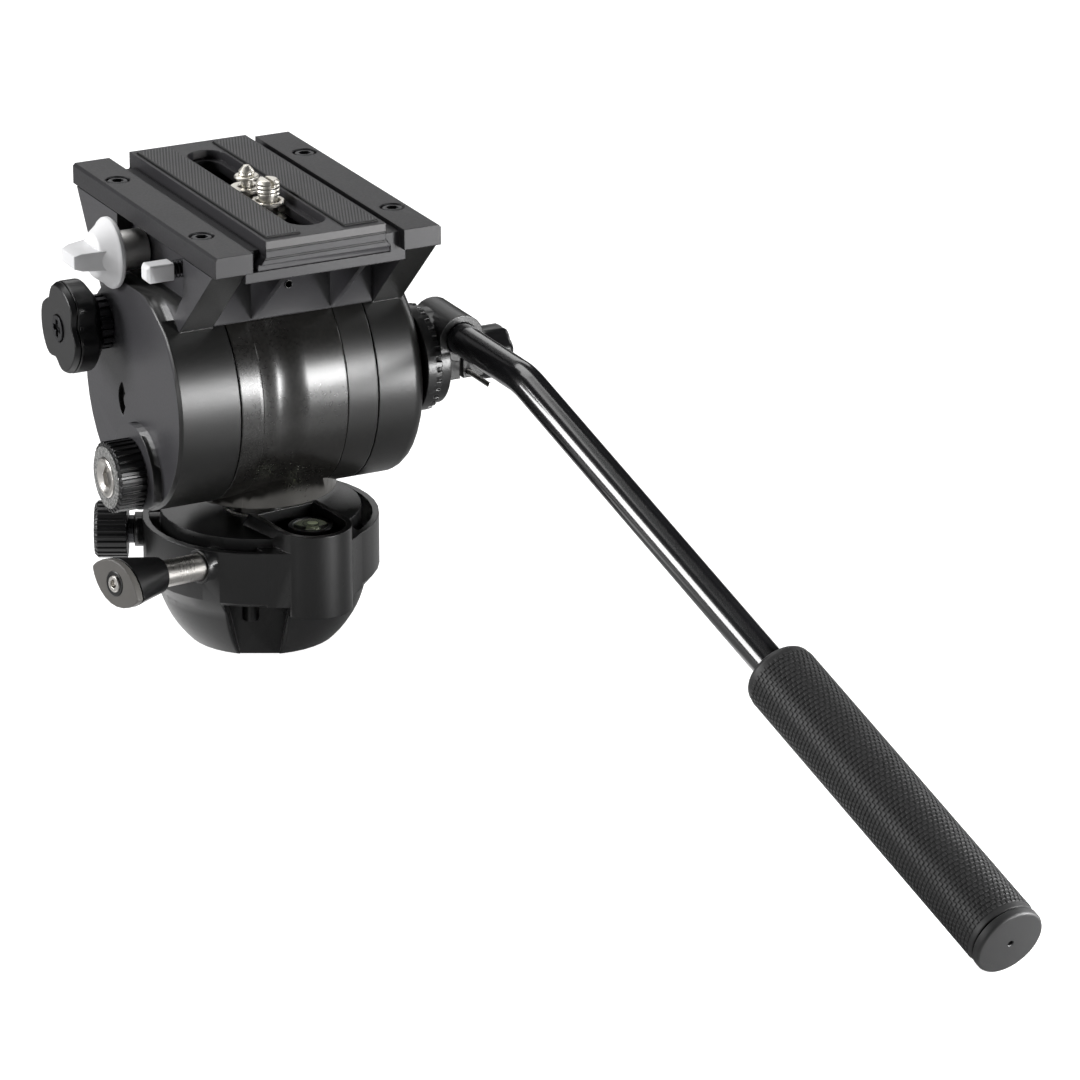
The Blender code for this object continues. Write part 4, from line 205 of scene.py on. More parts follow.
def as_mesh(name, shape):
    """A shape's mesh, once the shape is done."""
    mesh = bpy.data.meshes.new(name)
    shape.to_mesh(mesh)
    shape.free()
    return mesh


def settle(piece):
    """Turns a piece's modifiers into plain mesh."""
    evaluated = piece.evaluated_get(bpy.context.evaluated_depsgraph_get())
    mesh = bpy.data.meshes.new_from_object(evaluated)
    piece.modifiers.clear()
    piece.data = mesh


def make(name, shape, material, body, nodes=(), smooth=34, ease=0.0, turn=None):
    """A finished piece from a shape: eased, smoothed, riding on its body and standing for its nodes."""
    if turn:
        bmesh.ops.transform(shape, matrix=turn, verts=shape.verts)
    bmesh.ops.recalc_face_normals(shape, faces=shape.faces)
    mesh = as_mesh(name, shape)
    mesh.materials.append(material)
    piece = added(name, mesh)
    if ease:
        bevel = piece.modifiers.new("ease", "BEVEL")
        bevel.width = ease
        bevel.segments = 3
        bevel.limit_method = "ANGLE"
        bevel.angle_limit = math.radians(smooth)
        settle(piece)
    piece.data.shade_smooth()
    piece.data.set_sharp_from_angle(angle=math.radians(smooth))
    weighted = piece.modifiers.new("flats", "WEIGHTED_NORMAL")
    weighted.keep_sharp = True
    settle(piece)
    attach(piece, body)
    if nodes:
        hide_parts(*nodes)
    return piece


def dressed(node, material, ease=0.0, smooth=34):
    """A smooth copy of a CAD solid, which stands for it."""
    shape = bmesh.new()
    shape.from_mesh(frame["nodes"][node].data)
    bmesh.ops.remove_doubles(shape, verts=shape.verts, dist=0.000002)
    bmesh.ops.dissolve_limit(shape, angle_limit=math.radians(0.5), verts=shape.verts, edges=shape.edges)
    bodies = frame["record"]["behaviour"]["bodies"]
    body = next(name for name, nodes in bodies.items() if node in nodes)
    return make(node + "_skin", shape, material, body, (node,), smooth, ease)


black_cast = satin_black("black_cast_paint", 0.000020, 0.20, (0.0060, 0.0060, 0.0062), 0.46).material
dressed("base_casting", black_cast)


# The pan drag knob: a ridged knob on a short steel neck, on the operator's far left. It is glass-filled
# nylon straight from the mould, a little glossier on its ridges.
def moulded(name, shade, roughness, grain=0.000010, specular=0.36):
    finish = Finish(name, Specular_IOR_Level=specular)
    eased, edge = finish.rounded(0.0004)
    speckle = finish.noise(1800, 2)
    cloud = finish.noise(60, 3)
    finish.set(
        Base_Color=finish.clouded(cloud, shade, 0.8, 1.15),
        Roughness=roughness + cloud * 0.08 - edge * 0.08,
        Normal=finish.bump(speckle, grain, 0.3, eased),
    )
    return finish.material


black_knob = moulded("black_nylon", (0.0050, 0.0050, 0.0054), 0.27, specular=0.42)
dressed("pan_drag_knob", black_knob, 0.0002)

# The pan lock: a leaf-shaped nylon wing with a grey satin face, held by a bright socket screw in a
# round black ring, on a thick steel sleeve that is pressed into the base.
round_steps = 48


def turned_steel(name, shade, roughness, stretch):
    """Steel off the lathe, with fine rings round its axis."""
    finish = Finish(name, Metallic=1.0)
    rings = finish.noise(400, 3, stretch)
    stain = finish.noise(120, 3)
    finish.set(
        Base_Color=finish.clouded(stain, shade, 0.8, 1.0),
        Roughness=roughness + rings * 0.12 + stain * 0.06,
        Normal=finish.bump(rings, 0.000008, 0.4, finish.eased(0.0003)),
    )
    return finish.material


def stacked(rings, closed=False):
    """A skin through rings of points that match one to one, with its ends filled, or joined end to end."""
    shape = bmesh.new()
    made = [[shape.verts.new(point) for point in ring] for ring in rings]
    uppers = made[1:] + made[:1] if closed else made[1:]
    for lower, upper in zip(made, uppers):
        for i in range(len(lower)):
            j = (i + 1) % len(lower)
            shape.faces.new((lower[i], lower[j], upper[j], upper[i]))
    if not closed:
        shape.faces.new(list(reversed(made[0])))
        shape.faces.new(made[-1])
    return shape


def circle(radius, height, steps=round_steps):
    """A ring of points about Z."""
    angles = [2 * math.pi * i / steps for i in range(steps)]
    return [(radius * math.cos(a), radius * math.sin(a), height) for a in angles]


def lathe(profile, steps=round_steps, closed=False):
    """A solid turned about Z from (radius, height) points; closed where it is a ring with a bore."""
    return stacked([circle(radius, height, steps) for radius, height in profile], closed)


def hexagon(radius, height):
    """A ring of points about Z that follows a six-sided outline."""
    points = []
    for i in range(round_steps):
        angle = 2 * math.pi * i / round_steps
        off = (angle + math.pi / 6) % (math.pi / 3) - math.pi / 6
        reach = radius * math.cos(math.pi / 6) / math.cos(off)
        points.append((reach * math.cos(angle), reach * math.sin(angle), height))
    return points


def at(place, axis=(0, 0, 1)):
    """The move that takes a shape made along +Z to a place, pointing along an axis."""
    spin = Vector((0, 0, 1)).rotation_difference(Vector(axis)).to_matrix().to_4x4()
    return Matrix.Translation(Vector(place)) @ spin


grey_face = moulded("grey_satin_face", (0.115, 0.110, 0.103), 0.38)
bright_steel = turned_steel("bright_steel", (0.66, 0.64, 0.61), 0.20, (8.0, 0.4, 0.4))
dressed("pan_lock_wing", black_knob, smooth=40)
dressed("pan_lock_face", grey_face, 0.0005, 40)

bearing, rise = math.radians(-165), math.radians(5)
lock_axis = Vector((math.cos(bearing) * math.cos(rise), math.sin(bearing) * math.cos(rise), math.sin(rise)))
lock_root = Vector((-0.0380, -0.0276, 0.0418))
sleeve_length, wing_length, face_thickness, play = 0.0212, 0.0180, 0.0030, 0.0003
face_top = sleeve_length + play + wing_length + play + face_thickness
lock_end = at(lock_root + lock_axis * face_top, lock_axis)
collar = lathe([
    (0.0034, -0.0006), (0.0050, -0.0006), (0.0050, 0.0001), (0.0046, 0.0003), (0.0034, 0.0001),
], closed=True)
make("pan_lock_ring", collar, black_knob, "pan_lock", turn=lock_end)
screw = stacked([
    circle(0.0030, -0.0500), circle(0.0030, -0.0034), circle(0.0033, -0.0034), circle(0.0033, 0.0004),
    circle(0.0029, 0.0008), hexagon(0.0019, 0.0008), hexagon(0.0017, -0.0010), hexagon(0.0003, -0.0014),
])
make("pan_lock_screw_skin", screw, bright_steel, "pan_lock", ("pan_lock_screw",), turn=lock_end)
sleeve = lathe([
    (0.0033, -0.0040), (0.0050, -0.0040), (0.0053, -0.0037), (0.0053, sleeve_length - 0.0004),
    (0.0049, sleeve_length), (0.0033, sleeve_length),
], closed=True)
sleeve_turn = at(lock_root, lock_axis)
make("pan_lock_sleeve_skin", sleeve, bright_steel, "base", ("pan_lock_sleeve",), turn=sleeve_turn)

# The level: a black cup pressed into the nose, with a printed ring, pale green spirit, a bubble and a
# clear acrylic window whose top is slightly domed. The spirit's pale tone is partly a painted reflection.
level_bearing, level_reach = math.radians(-79), 0.0335
level_place = Vector((math.cos(level_bearing) * level_reach, math.sin(level_bearing) * level_reach, 0.0533))
spirit = Finish("level_spirit_and_painted_glare", Specular_IOR_Level=0.5)
# Partly its own pale green, partly a painted reflection of glare: the spirit is paler where it faces the
# view.
facing_glare = spirit.node("ShaderNodeLayerWeight", {}, (0.5,), "Facing")
spirit.set(
    Base_Color=spirit.blend(facing_glare, (0.42, 0.44, 0.36), (0.20, 0.21, 0.16)),
    Roughness=0.12 + spirit.noise(300, 2) * 0.05,
)
pool = lathe([(0.0066, -0.0031), (0.0066, -0.0012), (0.0060, -0.0008), (0.0001, -0.0008)])
make("level_spirit_pool", pool, spirit.material, "base", turn=at(level_place))
bubble = lathe([
    (0.0001, -0.0008), (0.0018, -0.0007), (0.0022, -0.0004), (0.0018, -0.0001), (0.0001, 0.0),
], 32)
bubble_finish = moulded("level_bubble", (0.55, 0.60, 0.42), 0.15, 0.000004, 0.6)
bubble_turn = at(level_place + Vector((0.0012, 0.0008, 0)))
make("level_bubble_form", bubble, bubble_finish, "base", turn=bubble_turn)
ring = lathe([(0.0029, 0.0), (0.0032, 0.0), (0.0032, 0.00008), (0.0029, 0.00008)], closed=True)
make("level_ring", ring, black_knob, "base", turn=at(level_place))
acrylic = Finish("level_acrylic", Transmission_Weight=1.0, IOR=1.47, Base_Color=(0.93, 0.96, 0.90, 1.0))
acrylic.set(Roughness=0.03 + acrylic.noise(200, 2) * 0.04)
clear_window = acrylic.material
window = lathe([(0.0069, -0.0005), (0.0069, 0.0), (0.0064, 0.0004), (0.0045, 0.0006), (0.0001, 0.0007)])
make("level_window", window, clear_window, "base", ("level_glass",), turn=at(level_place))
cup = lathe([
    (0.0088, -0.0145), (0.0088, -0.0003), (0.0085, 0.0), (0.0072, 0.0), (0.0072, -0.0032), (0.0001, -0.0032),
    (0.0001, -0.0145),
])
make("level_cup_skin", cup, black_knob, "base", ("level_cup",), turn=at(level_place))

# The drum: the pan head's neck and middle drum, one casting with a shallow waist next to the left cap,
# and an end ring screwed to it. Powder paint gives it a coarse warm sparkle; the neck wall is a painted
# highlight.
drum = satin_black("black_drum_paint_and_neck_highlight", 0.000030, 0.19, (0.0075, 0.0072, 0.0066), 0.60)
side = drum.along("X")
waist = side.ramp(-0.0200, -0.0110) - side.ramp(-0.0110, 0.0010)
step = side.ramp(-0.0186, -0.0182)
shaped = drum.bump(waist * -1.0 - step * 0.12, 0.0016, 1.0, drum.eased(0.0008))
grain = drum.noise(520, 3)
upright = 1.0 - drum.facing("Z").ramp(0.3, 0.5)
# Painted highlight: the upright wall of the neck, below the drum, gets a much paler grey than the paint.
painted_neck_highlight = (1.0 - drum.along("Z").ramp(0.0705, 0.0725)) * upright
cloud = drum.noise(35, 3)
mottle = drum.noise(800, 4).ramp(0.30, 0.75)
paint = drum.blend(mottle, (0.0055, 0.0052, 0.0048), (0.0105, 0.0100, 0.0090))
drum.set(
    Base_Color=drum.blend(painted_neck_highlight, paint, (0.070, 0.068, 0.064)),
    Roughness=0.245 + cloud * 0.06 + mottle * 0.03,
    Normal=drum.bump(grain, 0.00002, 0.5, shaped),
)
dressed("neck_and_drum", drum.material)
ring_paint = satin_black("black_ring_paint", 0.00003, 0.25, (0.0080, 0.0078, 0.0074), 0.52).material
dressed("drum_end_ring", ring_paint)

# The side caps: two cast cups with a cheek each, which close the drum and carry the platform. Their flat
# outer faces are matt and paler than the rims; the floor of the curved slot keeps the dark rim paint as
# painted shade.
cap = satin_black("black_cap_paint_and_slot_shade", 0.00003, 0.25, (0.0075, 0.0073, 0.0070), 0.50)
flat = cap.facing("X").ramp(0.80, 0.98)
# Painted shade: the floor of the curved slot on the left cap stays dark, like the inside of a through slot.
flat = flat * (1.0 - cap.along("X").band(-0.0528, -0.0500, 0.0004))
cloud = cap.noise(35, 3)
rim_paint = cap.blend(cloud, (0.006, 0.006, 0.006), (0.009, 0.009, 0.0085))
face_paint = cap.blend(cloud, (0.036, 0.0355, 0.039), (0.045, 0.044, 0.048))
cap.set(Base_Color=cap.blend(flat, rim_paint, face_paint))
dressed("left_cap", cap.material)
dressed("right_cap", cap.material)

# The platform: two rails with chamfered edges, the deck between them and skirts with gussets, milled
# from aluminium and painted black. Four black socket screws hold it down on the cheeks.
black_milled = satin_black("black_milled_paint", 0.000012, 0.36, (0.0165, 0.0160, 0.0182), 0.40).material
dark_steel = turned_steel("blackened_steel", (0.05, 0.05, 0.053), 0.30, (1.0, 1.0, 1.0))
dressed("platform", black_milled)
screw_places = [(x, y, 0.1765) for x in (-0.0400, 0.0400) for y in (-0.0385, 0.0410)]
for number, place in enumerate(screw_places, 1):
    head = stacked([
        circle(0.0024, -0.0160), circle(0.0024, 0), circle(0.0041, 0), circle(0.0042, 0.0018),
        circle(0.0038, 0.0025), circle(0.0030, 0.0027), hexagon(0.0025, 0.0027), hexagon(0.0023, 0.0008),
        hexagon(0.0003, 0.0004),
    ])
    name = f"rail_screw_{number}"
    make(name + "_skin", head, dark_steel, "tilt_head", (name,), turn=at(place))
# Painted shade: a small dark disc on the front skirt stands for a screw hole, which is not cut.
hole = lathe([(0.0001, 0.0), (0.0012, 0.0), (0.0013, 0.0002), (0.0016, 0.0003), (0.0018, 0.0)], 32)
hole_turn = at((-0.0012, -0.0320, 0.1525), (0, -1, 0))
make("skirt_hole", hole, black_knob, "tilt_head", turn=hole_turn)

# The camera plate: an extruded bar with a slot, which slides on the platform and is gripped by a milled
# jaw. It has two fine grooves across its ends, darkened with painted shade, and a painted highlight along its
# top edge there.
plate = satin_black("black_plate_paint_and_painted_light", 0.000012, 0.34, (0.026, 0.0255, 0.0275), 0.34)
height = plate.along("Z")
ends = plate.facing("Y").ramp(0.90, 0.96)
# Painted shade: the two grooves across the ends are coloured near black.
grooves = (height.band(0.1784, 0.1790, 0.0002) + height.band(0.1750, 0.1756, 0.0002)) * ends
# Painted highlight: a paler band along the top edge of the ends.
painted_top_highlight = height.ramp(0.1789, 0.1791) * ends
paint = plate.blend(plate.noise(40, 3), (0.020, 0.0195, 0.022), (0.030, 0.029, 0.032))
paint = plate.blend(painted_top_highlight, paint, (0.085, 0.083, 0.084))
plate.set(
    Base_Color=plate.blend(grooves, paint, (0.003, 0.003, 0.003)),
    Normal=plate.bump(grooves * -1.0, 0.0005, 1.0, plate.eased(0.0006)),
)
dressed("camera_plate", plate.material)
dressed("clamp_jaw", black_milled)


# The pads: two long strips of matt, slightly dusty black rubber with fine slanted ribs moulded into
# their tops, glued into shallow seats in the camera plate.
def rubber(name, shade):
    finish = Finish(name, Specular_IOR_Level=0.40, Sheen_Weight=0.03, Sheen_Roughness=0.5)
    cloud = finish.noise(50, 4)
    speckle = finish.noise(2200, 2)
    finish.set(
        Base_Color=finish.clouded(cloud, shade, 0.8, 1.3),
        Roughness=0.44 + cloud * 0.12,
        Normal=finish.bump(speckle, 0.00002, 0.4),
    )
    return finish.material


def repeater(name, wrapped):
    """Nodes that repeat an item: in straight rows over a flat field, or in rings along a round bar."""
    tree = bpy.data.node_groups.new(name, "GeometryNodeTree")
    ports = {}
    for port, kind in (
        ("Item", "Object"), ("Columns", "Int"), ("Rows", "Int"), ("Pitch", "Float"), ("Row Pitch", "Float"),
        ("Radius", "Float"), ("Shift", "Float"), ("Finish", "Material"),
    ):
        ports[port] = tree.interface.new_socket(port, in_out="INPUT", socket_type=f"NodeSocket{kind}")
    tree.interface.new_socket("Piece", in_out="OUTPUT", socket_type="NodeSocketGeometry")
    given = tree.nodes.new("NodeGroupInput").outputs

    def add(kind, inputs=(), output=0, **settings):
        node = tree.nodes.new(kind)
        for key, value in settings.items():
            setattr(node, key, value)
        pairs = inputs.items() if isinstance(inputs, dict) else enumerate(inputs)
        for key, value in pairs:
            if hasattr(value, "is_output"):
                tree.links.new(value, node.inputs[key])
            else:
                node.inputs[key].default_value = value
        return node.outputs[output]

    def calc(operation, *values):
        return add("ShaderNodeMath", values, operation=operation)

    total = calc("MULTIPLY", given["Columns"], given["Rows"])
    points = add("GeometryNodeMeshLine", {"Count": total})
    index = add("GeometryNodeInputIndex")
    row = calc("FLOOR", calc("DIVIDE", index, given["Columns"]))
    column = calc("SUBTRACT", index, calc("MULTIPLY", row, given["Columns"]))
    offset = calc("FRACT", calc("MULTIPLY", row, given["Shift"]))
    across = calc("MULTIPLY", calc("ADD", column, offset), given["Pitch"])
    down = calc("MULTIPLY", row, given["Row Pitch"])
    if wrapped:
        angle = calc("DIVIDE", across, given["Radius"])
        out_x = calc("MULTIPLY", calc("COSINE", angle), given["Radius"])
        out_y = calc("MULTIPLY", calc("SINE", angle), given["Radius"])
        place = add("ShaderNodeCombineXYZ", (out_x, out_y, down))
        spin = add("ShaderNodeCombineXYZ", (0.0, 0.0, angle))
    else:
        place = add("ShaderNodeCombineXYZ", (across, down, 0.0))
        spin = add("ShaderNodeCombineXYZ", (0.0, 0.0, 0.0))
    moved = add("GeometryNodeSetPosition", {"Geometry": points, "Position": place})
    item = add("GeometryNodeObjectInfo", {"Object": given["Item"]}, "Geometry")
    grown = add("GeometryNodeInstanceOnPoints", {"Points": moved, "Instance": item, "Rotation": spin})
    real = add("GeometryNodeRealizeInstances", {"Geometry": grown})
    done = add("GeometryNodeSetMaterial", {"Geometry": real, "Material": given["Finish"]})
    out = tree.nodes.new("NodeGroupOutput")
    tree.links.new(done, out.inputs[0])
    return tree, {port: socket.identifier for port, socket in ports.items()}


def repeated(name, group, item, values, body, turn):
    """A piece grown by a repeater from one item."""
    tree, ports = group
    piece = added(name, bpy.data.meshes.new(name))
    grower = piece.modifiers.new("grower", "NODES")
    grower.node_group = tree
    for port, value in values.items():
        grower[ports[port]] = value
    seed = added("seed", as_mesh("seed", item))
    grower[ports["Item"]] = seed
    settle(piece)
    bpy.data.objects.remove(seed)
    piece.data.transform(turn)
    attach(piece, body)
    return piece


# Painted light and shade: the ribs get a pale copy of the rubber and the ground between them a dark copy.
rib_rubber_painted_light = rubber("rubber_pad_ribs_painted_light", (0.060, 0.060, 0.064))
ground_rubber_painted_shade = rubber("rubber_pad_ground_painted_shade", (0.004, 0.004, 0.0045))
rows_of = repeater("rows_over_a_field", False)
rib_lean, rib_run, ribs_before = 0.0140, 0.0335, 0.0320
rib_sizes = {"Columns": 1, "Rows": 49, "Row Pitch": 0.00305, "Finish": rib_rubber_painted_light}
side_margin, end_margin = 0.0004, 0.0006
for name in ("left_pad", "right_pad"):
    low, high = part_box(name)
    outline = ((low[0], low[1]), (high[0], low[1]), (high[0], high[1]), (low[0], high[1]))
    strip = stacked([[(x, y, z) for x, y in outline] for z in (low[2], high[2])])
    make(name + "_skin", strip, ground_rubber_painted_shade, "plate", (name,), ease=0.0002)
    rib = stacked([
        [(-half, 0, z), (half, 0, z), (rib_lean + half, rib_run, z), (rib_lean - half, rib_run, z)]
        for half, z in ((0.00032, 0), (0.00022, 0.0003))
    ])
    corner = Matrix.Translation((low[0], low[1] - ribs_before, high[2] - 0.0001))
    ribs = repeated(name + "_ribs", rows_of, rib, rib_sizes, "plate", corner)
    trimmed = bmesh.new()
    trimmed.from_mesh(ribs.data)
    for x, y, out in ((low[0] + side_margin, 0, (-1, 0, 0)), (high[0] - side_margin, 0, (1, 0, 0)),
                      (0, low[1] + end_margin, (0, -1, 0)), (0, high[1] - end_margin, (0, 1, 0))):
        parts = trimmed.verts[:] + trimmed.edges[:] + trimmed.faces[:]
        cut = bmesh.ops.bisect_plane(trimmed, geom=parts, plane_co=(x, y, 0), plane_no=out, clear_outer=True)
        edges = [item for item in cut["geom_cut"] if isinstance(item, bmesh.types.BMEdge)]
        bmesh.ops.holes_fill(trimmed, edges=edges)
    bmesh.ops.recalc_face_normals(trimmed, faces=trimmed.faces)
    trimmed.to_mesh(ribs.data)
    trimmed.free()

# The camera screws: bright turned steel with a cut thread, each held in the slot by a thick washer. The
# smaller one has a waist and a plain collar under its tip, and the larger one is slotted for a coin.
upright_steel = turned_steel("upright_steel", (0.86, 0.83, 0.76), 0.30, (0.5, 0.5, 2.0))
screw_foot, screw_top = 0.1713, 0.1889
small_y, large_y = 0.0080, -0.0117
square = ((-1, -1), (1, -1), (1, 1), (-1, 1))


def camera_screw(name, place_y, radius, pitch, head_radius, tip, waist):
    thread_depth, waist_depth = 0.24 * pitch, 0.0009
    rings = [
        circle(head_radius, screw_foot), circle(head_radius, screw_foot + 0.0027),
        circle(head_radius - 0.0004, screw_foot + 0.0031),
    ]
    height = screw_foot + 0.0033
    while height < screw_top:
        ring = []
        for i in range(round_steps):
            turn = (height / pitch - i / round_steps) % 1
            reach = radius - thread_depth * abs(2 * turn - 1)
            reach = min(reach, tip + (screw_top - height) * 0.9)
            if height < waist:
                reach = radius - waist_depth
            angle = 2 * math.pi * i / round_steps
            ring.append((reach * math.cos(angle), reach * math.sin(angle), height))
        rings.append(ring)
        height += pitch / 8
    shape = stacked(rings + [circle(tip - 0.0003, screw_top)])
    body, nodes, place = name + "_turn", (name + "_screw",), at((0, place_y, 0))
    screw = make(name + "_skin", shape, upright_steel, body, nodes, 50, turn=place)
    low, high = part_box(name + "_washer")
    washer = lathe([
        (radius + 0.0002, low[2]), (0.0066, low[2]), (0.0066, high[2] - 0.0004), (0.0062, high[2]),
        (radius + 0.0005, high[2]), (radius + 0.0002, high[2] - 0.0003),
    ], closed=True)
    body, nodes = name + "_slide", (name + "_washer",)
    make(name + "_washer_skin", washer, upright_steel, body, nodes, turn=place)
    return screw


camera_screw("small_camera", small_y, 0.003175, 0.00127, 0.0070, 0.0012, 0.1851)
collar = lathe([
    (0.0024, 0.1836), (0.0044, 0.1836), (0.0049, 0.1840), (0.0049, 0.1846), (0.0044, 0.1850),
    (0.0024, 0.1851),
], closed=True)
collar_turn = at((0, small_y, 0))
make("small_camera_collar", collar, upright_steel, "small_camera_turn", turn=collar_turn)
large = camera_screw("large_camera", large_y, 0.0046, 0.0015875, 0.0085, 0.0036, 0.1830)
shape = stacked([[(x * 0.0007, large_y + y * 0.0060, z) for x, y in square] for z in (0.1862, 0.1900)])
bmesh.ops.recalc_face_normals(shape, faces=shape.faces)
coin_slot = added("coin_slot", as_mesh("coin_slot", shape))
cut = large.modifiers.new("slot", "BOOLEAN")
cut.object = coin_slot
cut.solver = "EXACT"
settle(large)
bpy.data.objects.remove(coin_slot)

# The clamp knob: one white nylon moulding, a conical flange with a bar across it that tapers to its
# tip, on a turned steel shaft that draws the jaw in.
white_knob = moulded("white_nylon", (0.80, 0.80, 0.81), 0.36, 0.000005, 0.45)
satin_steel = turned_steel("satin_steel", (0.80, 0.79, 0.77), 0.42, (2.0, 0.5, 0.5))
facing_left = Matrix.Translation((-0.0543, 0.0136, 0.1600)) @ Matrix.Rotation(math.radians(-90), 4, "Y")
cone = lathe([
    (0.0044, 0.0030), (0.0044, 0.0003), (0.0136, 0.0003), (0.0140, 0.0008), (0.0140, 0.0020),
    (0.0134, 0.0029), (0.0124, 0.0036), (0.0092, 0.0080), (0.0084, 0.0088), (0.0072, 0.0092),
    (0.0001, 0.0093),
], 64)
make("clamp_knob_cone", cone, white_knob, "clamp_knob_turn", ("clamp_knob",), 30, turn=facing_left)
bar = stacked([
    [(a * half_thickness, b * half_width, reach) for a, b in square]
    for reach, half_thickness, half_width in (
        (0.0024, 0.0046, 0.0108), (0.0080, 0.0040, 0.0090), (0.0158, 0.0036, 0.0072),
        (0.0190, 0.0026, 0.0062),
    )
])
make("clamp_knob_bar", bar, white_knob, "clamp_knob_turn", smooth=20, ease=0.0005, turn=facing_left)
shaft = lathe([
    (0.0040, -0.0198), (0.0040, -0.0125), (0.0076, -0.0125), (0.0079, -0.0122), (0.0079, -0.0004),
    (0.0076, 0.0), (0.0040, 0.0), (0.0040, 0.0027),
])
make("clamp_shaft_skin", shaft, satin_steel, "clamp_knob_turn", ("clamp_shaft",), turn=facing_left)

# The release button: a small block of the same white nylon on a blackened steel stem. A spring round
# the stem pushes it out, and gets a mesh of its own.
dressed("release_button", white_knob, 0.0007)
spring = dressed("button_spring", dark_steel)
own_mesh(spring)

# The tilt lock: a lobed nylon knob with a thin cover and a cross screw, over a ridged hub of blackened
# steel on the left cap.
dressed("tilt_lock_ratchet", dark_steel)
dressed("tilt_lock_knob", black_knob, 0.0008, 40)
dressed("tilt_lock_cover", black_knob, 0.0004, 40)
dressed("tilt_lock_screw", dark_steel, 0.0002)

# The tilt drag knob: ridged nylon with a grey speckled face ring and a bright bevelled ring round a
# deep hexagon socket, low on the left cap.
dressed("tilt_drag_knob", black_knob, 0.0002)
speckled = Finish("grey_speckled_face", Specular_IOR_Level=0.4)
spots = speckled.noise(900, 3).ramp(0.42, 0.62)
speckled.set(
    Base_Color=speckled.blend(spots, (0.10, 0.10, 0.10), (0.30, 0.30, 0.29)),
    Roughness=0.42 - spots * 0.12,
    Normal=speckled.bump(spots, 0.00002, 0.5),
)
drag_turn = at((-0.0572, -0.0080, 0.0770), (-1, 0, 0))
face = lathe([
    (0.0081, 0.0108), (0.0122, 0.0110), (0.0122, 0.0115), (0.0117, 0.0118), (0.0087, 0.0118),
    (0.0081, 0.0115),
], 64, True)
make("tilt_drag_face", face, speckled.material, "tilt_drag_turn", turn=drag_turn)
bolt = stacked([
    circle(0.0030, -0.0050), circle(0.0030, 0.0086), circle(0.0079, 0.0086), circle(0.0079, 0.0118),
    circle(0.0074, 0.0122), circle(0.0064, 0.0120), circle(0.0052, 0.0112), hexagon(0.0046, 0.0110),
    hexagon(0.0044, 0.0096), hexagon(0.0003, 0.0094),
])
make("tilt_drag_bolt_skin", bolt, bright_steel, "tilt_drag_turn", ("tilt_drag_bolt",), turn=drag_turn)

# The pan bar's seat: a toothed disc on the right cap, and a cast bracket with a split barrel that the
# bar turns in, pinched by a lobed nylon knob. A steel pin hangs under the bar.
dressed("bar_rosette", black_cast)
dressed("bar_bracket", black_cast)
dressed("collar_knob", black_knob, 0.0004, 40)
dressed("retaining_pin", bright_steel)

# The pan bar: an aluminium tube, hard anodised black and polished, so that it mirrors the studio. It
# runs straight back towards the operator, then bends down and a little outwards.
gloss = Finish("black_polished_tube", Specular_IOR_Level=0.6, Coat_Weight=0.6, Coat_Roughness=0.08)
cloud = gloss.noise(30, 3)
drawn_lines = gloss.noise(900, 3, (1.0, 0.1, 1.0))
gloss.set(
    Base_Color=gloss.blend(cloud, (0.005, 0.005, 0.006), (0.011, 0.011, 0.012)),
    Roughness=0.16 + cloud * 0.06 + drawn_lines * 0.06,
)
bar_side, bar_height, bar_start, bar_corner = 0.0672, 0.1232, -0.0213, -0.0969
tube_radius, tube_after_corner = 0.00635, 0.3257
bend, roll, bend_radius, bend_steps = math.radians(22), math.radians(16.3), 0.0280, 24
before = Vector((0, -1, 0))
after = Vector((math.sin(bend) * math.sin(roll), -math.cos(bend), -math.sin(bend) * math.cos(roll)))
inward = (after - before * after.dot(before)).normalized()
corner = Vector((bar_side, bar_corner, bar_height))
centre = corner - before * bend_radius * math.tan(bend / 2) + inward * bend_radius
route = [Vector((bar_side, bar_start, bar_height))]
for i in range(bend_steps + 1):
    angle = bend * i / bend_steps
    route.append(centre - inward * bend_radius * math.cos(angle) + before * bend_radius * math.sin(angle))
route.append(corner + after * tube_after_corner)
across = before.cross(inward).normalized()
rings = []
for i, point in enumerate(route):
    ahead = (route[min(i + 1, len(route) - 1)] - route[max(i - 1, 0)]).normalized()
    other = ahead.cross(across)
    angles = [2 * math.pi * k / round_steps for k in range(round_steps)]
    rings.append([point + (across * math.cos(a) + other * math.sin(a)) * tube_radius for a in angles])
make("pan_bar_tube_skin", stacked(rings), gloss.material, "bar_twist", ("pan_bar_tube",))

# The grip: a thick sleeve of black rubber pushed over the tube and covered with rows of small square
# studs, and a flat rubber end cap with a small vent hole.
black_rubber = rubber("black_rubber_grip", (0.0085, 0.0085, 0.0088))
grip_turn = Matrix.Translation(corner) @ Vector((0, 0, 1)).rotation_difference(after).to_matrix().to_4x4()
grip_radius, grip_bore, shoulder, shoulder_steps = 0.0136, 0.0066, 0.0032, 6
profile = [(grip_bore, 0.1779)]
for i in range(shoulder_steps + 1):
    angle = math.radians(-90 + 90 * i / shoulder_steps)
    profile.append((grip_radius - shoulder + shoulder * math.cos(angle), 0.1811 + shoulder * math.sin(angle)))
profile += [(grip_radius, 0.3252), (0.0133, tube_after_corner), (grip_bore, tube_after_corner)]
sleeve = lathe(profile, 64, True)
make("rubber_grip_skin", sleeve, black_rubber, "bar_twist", ("rubber_grip",), turn=grip_turn)
studs_round = 43
stud = stacked([
    [(out, a * half, b * half) for a, b in square]
    for out, half in ((-0.0001, 0.00080), (0.0002, 0.00072), (0.0003, 0.00055))
])
stud_sizes = {
    "Columns": studs_round, "Rows": 72, "Pitch": 2 * math.pi * grip_radius / studs_round,
    "Row Pitch": 0.00196, "Radius": grip_radius, "Shift": 0.5, "Finish": black_rubber,
}
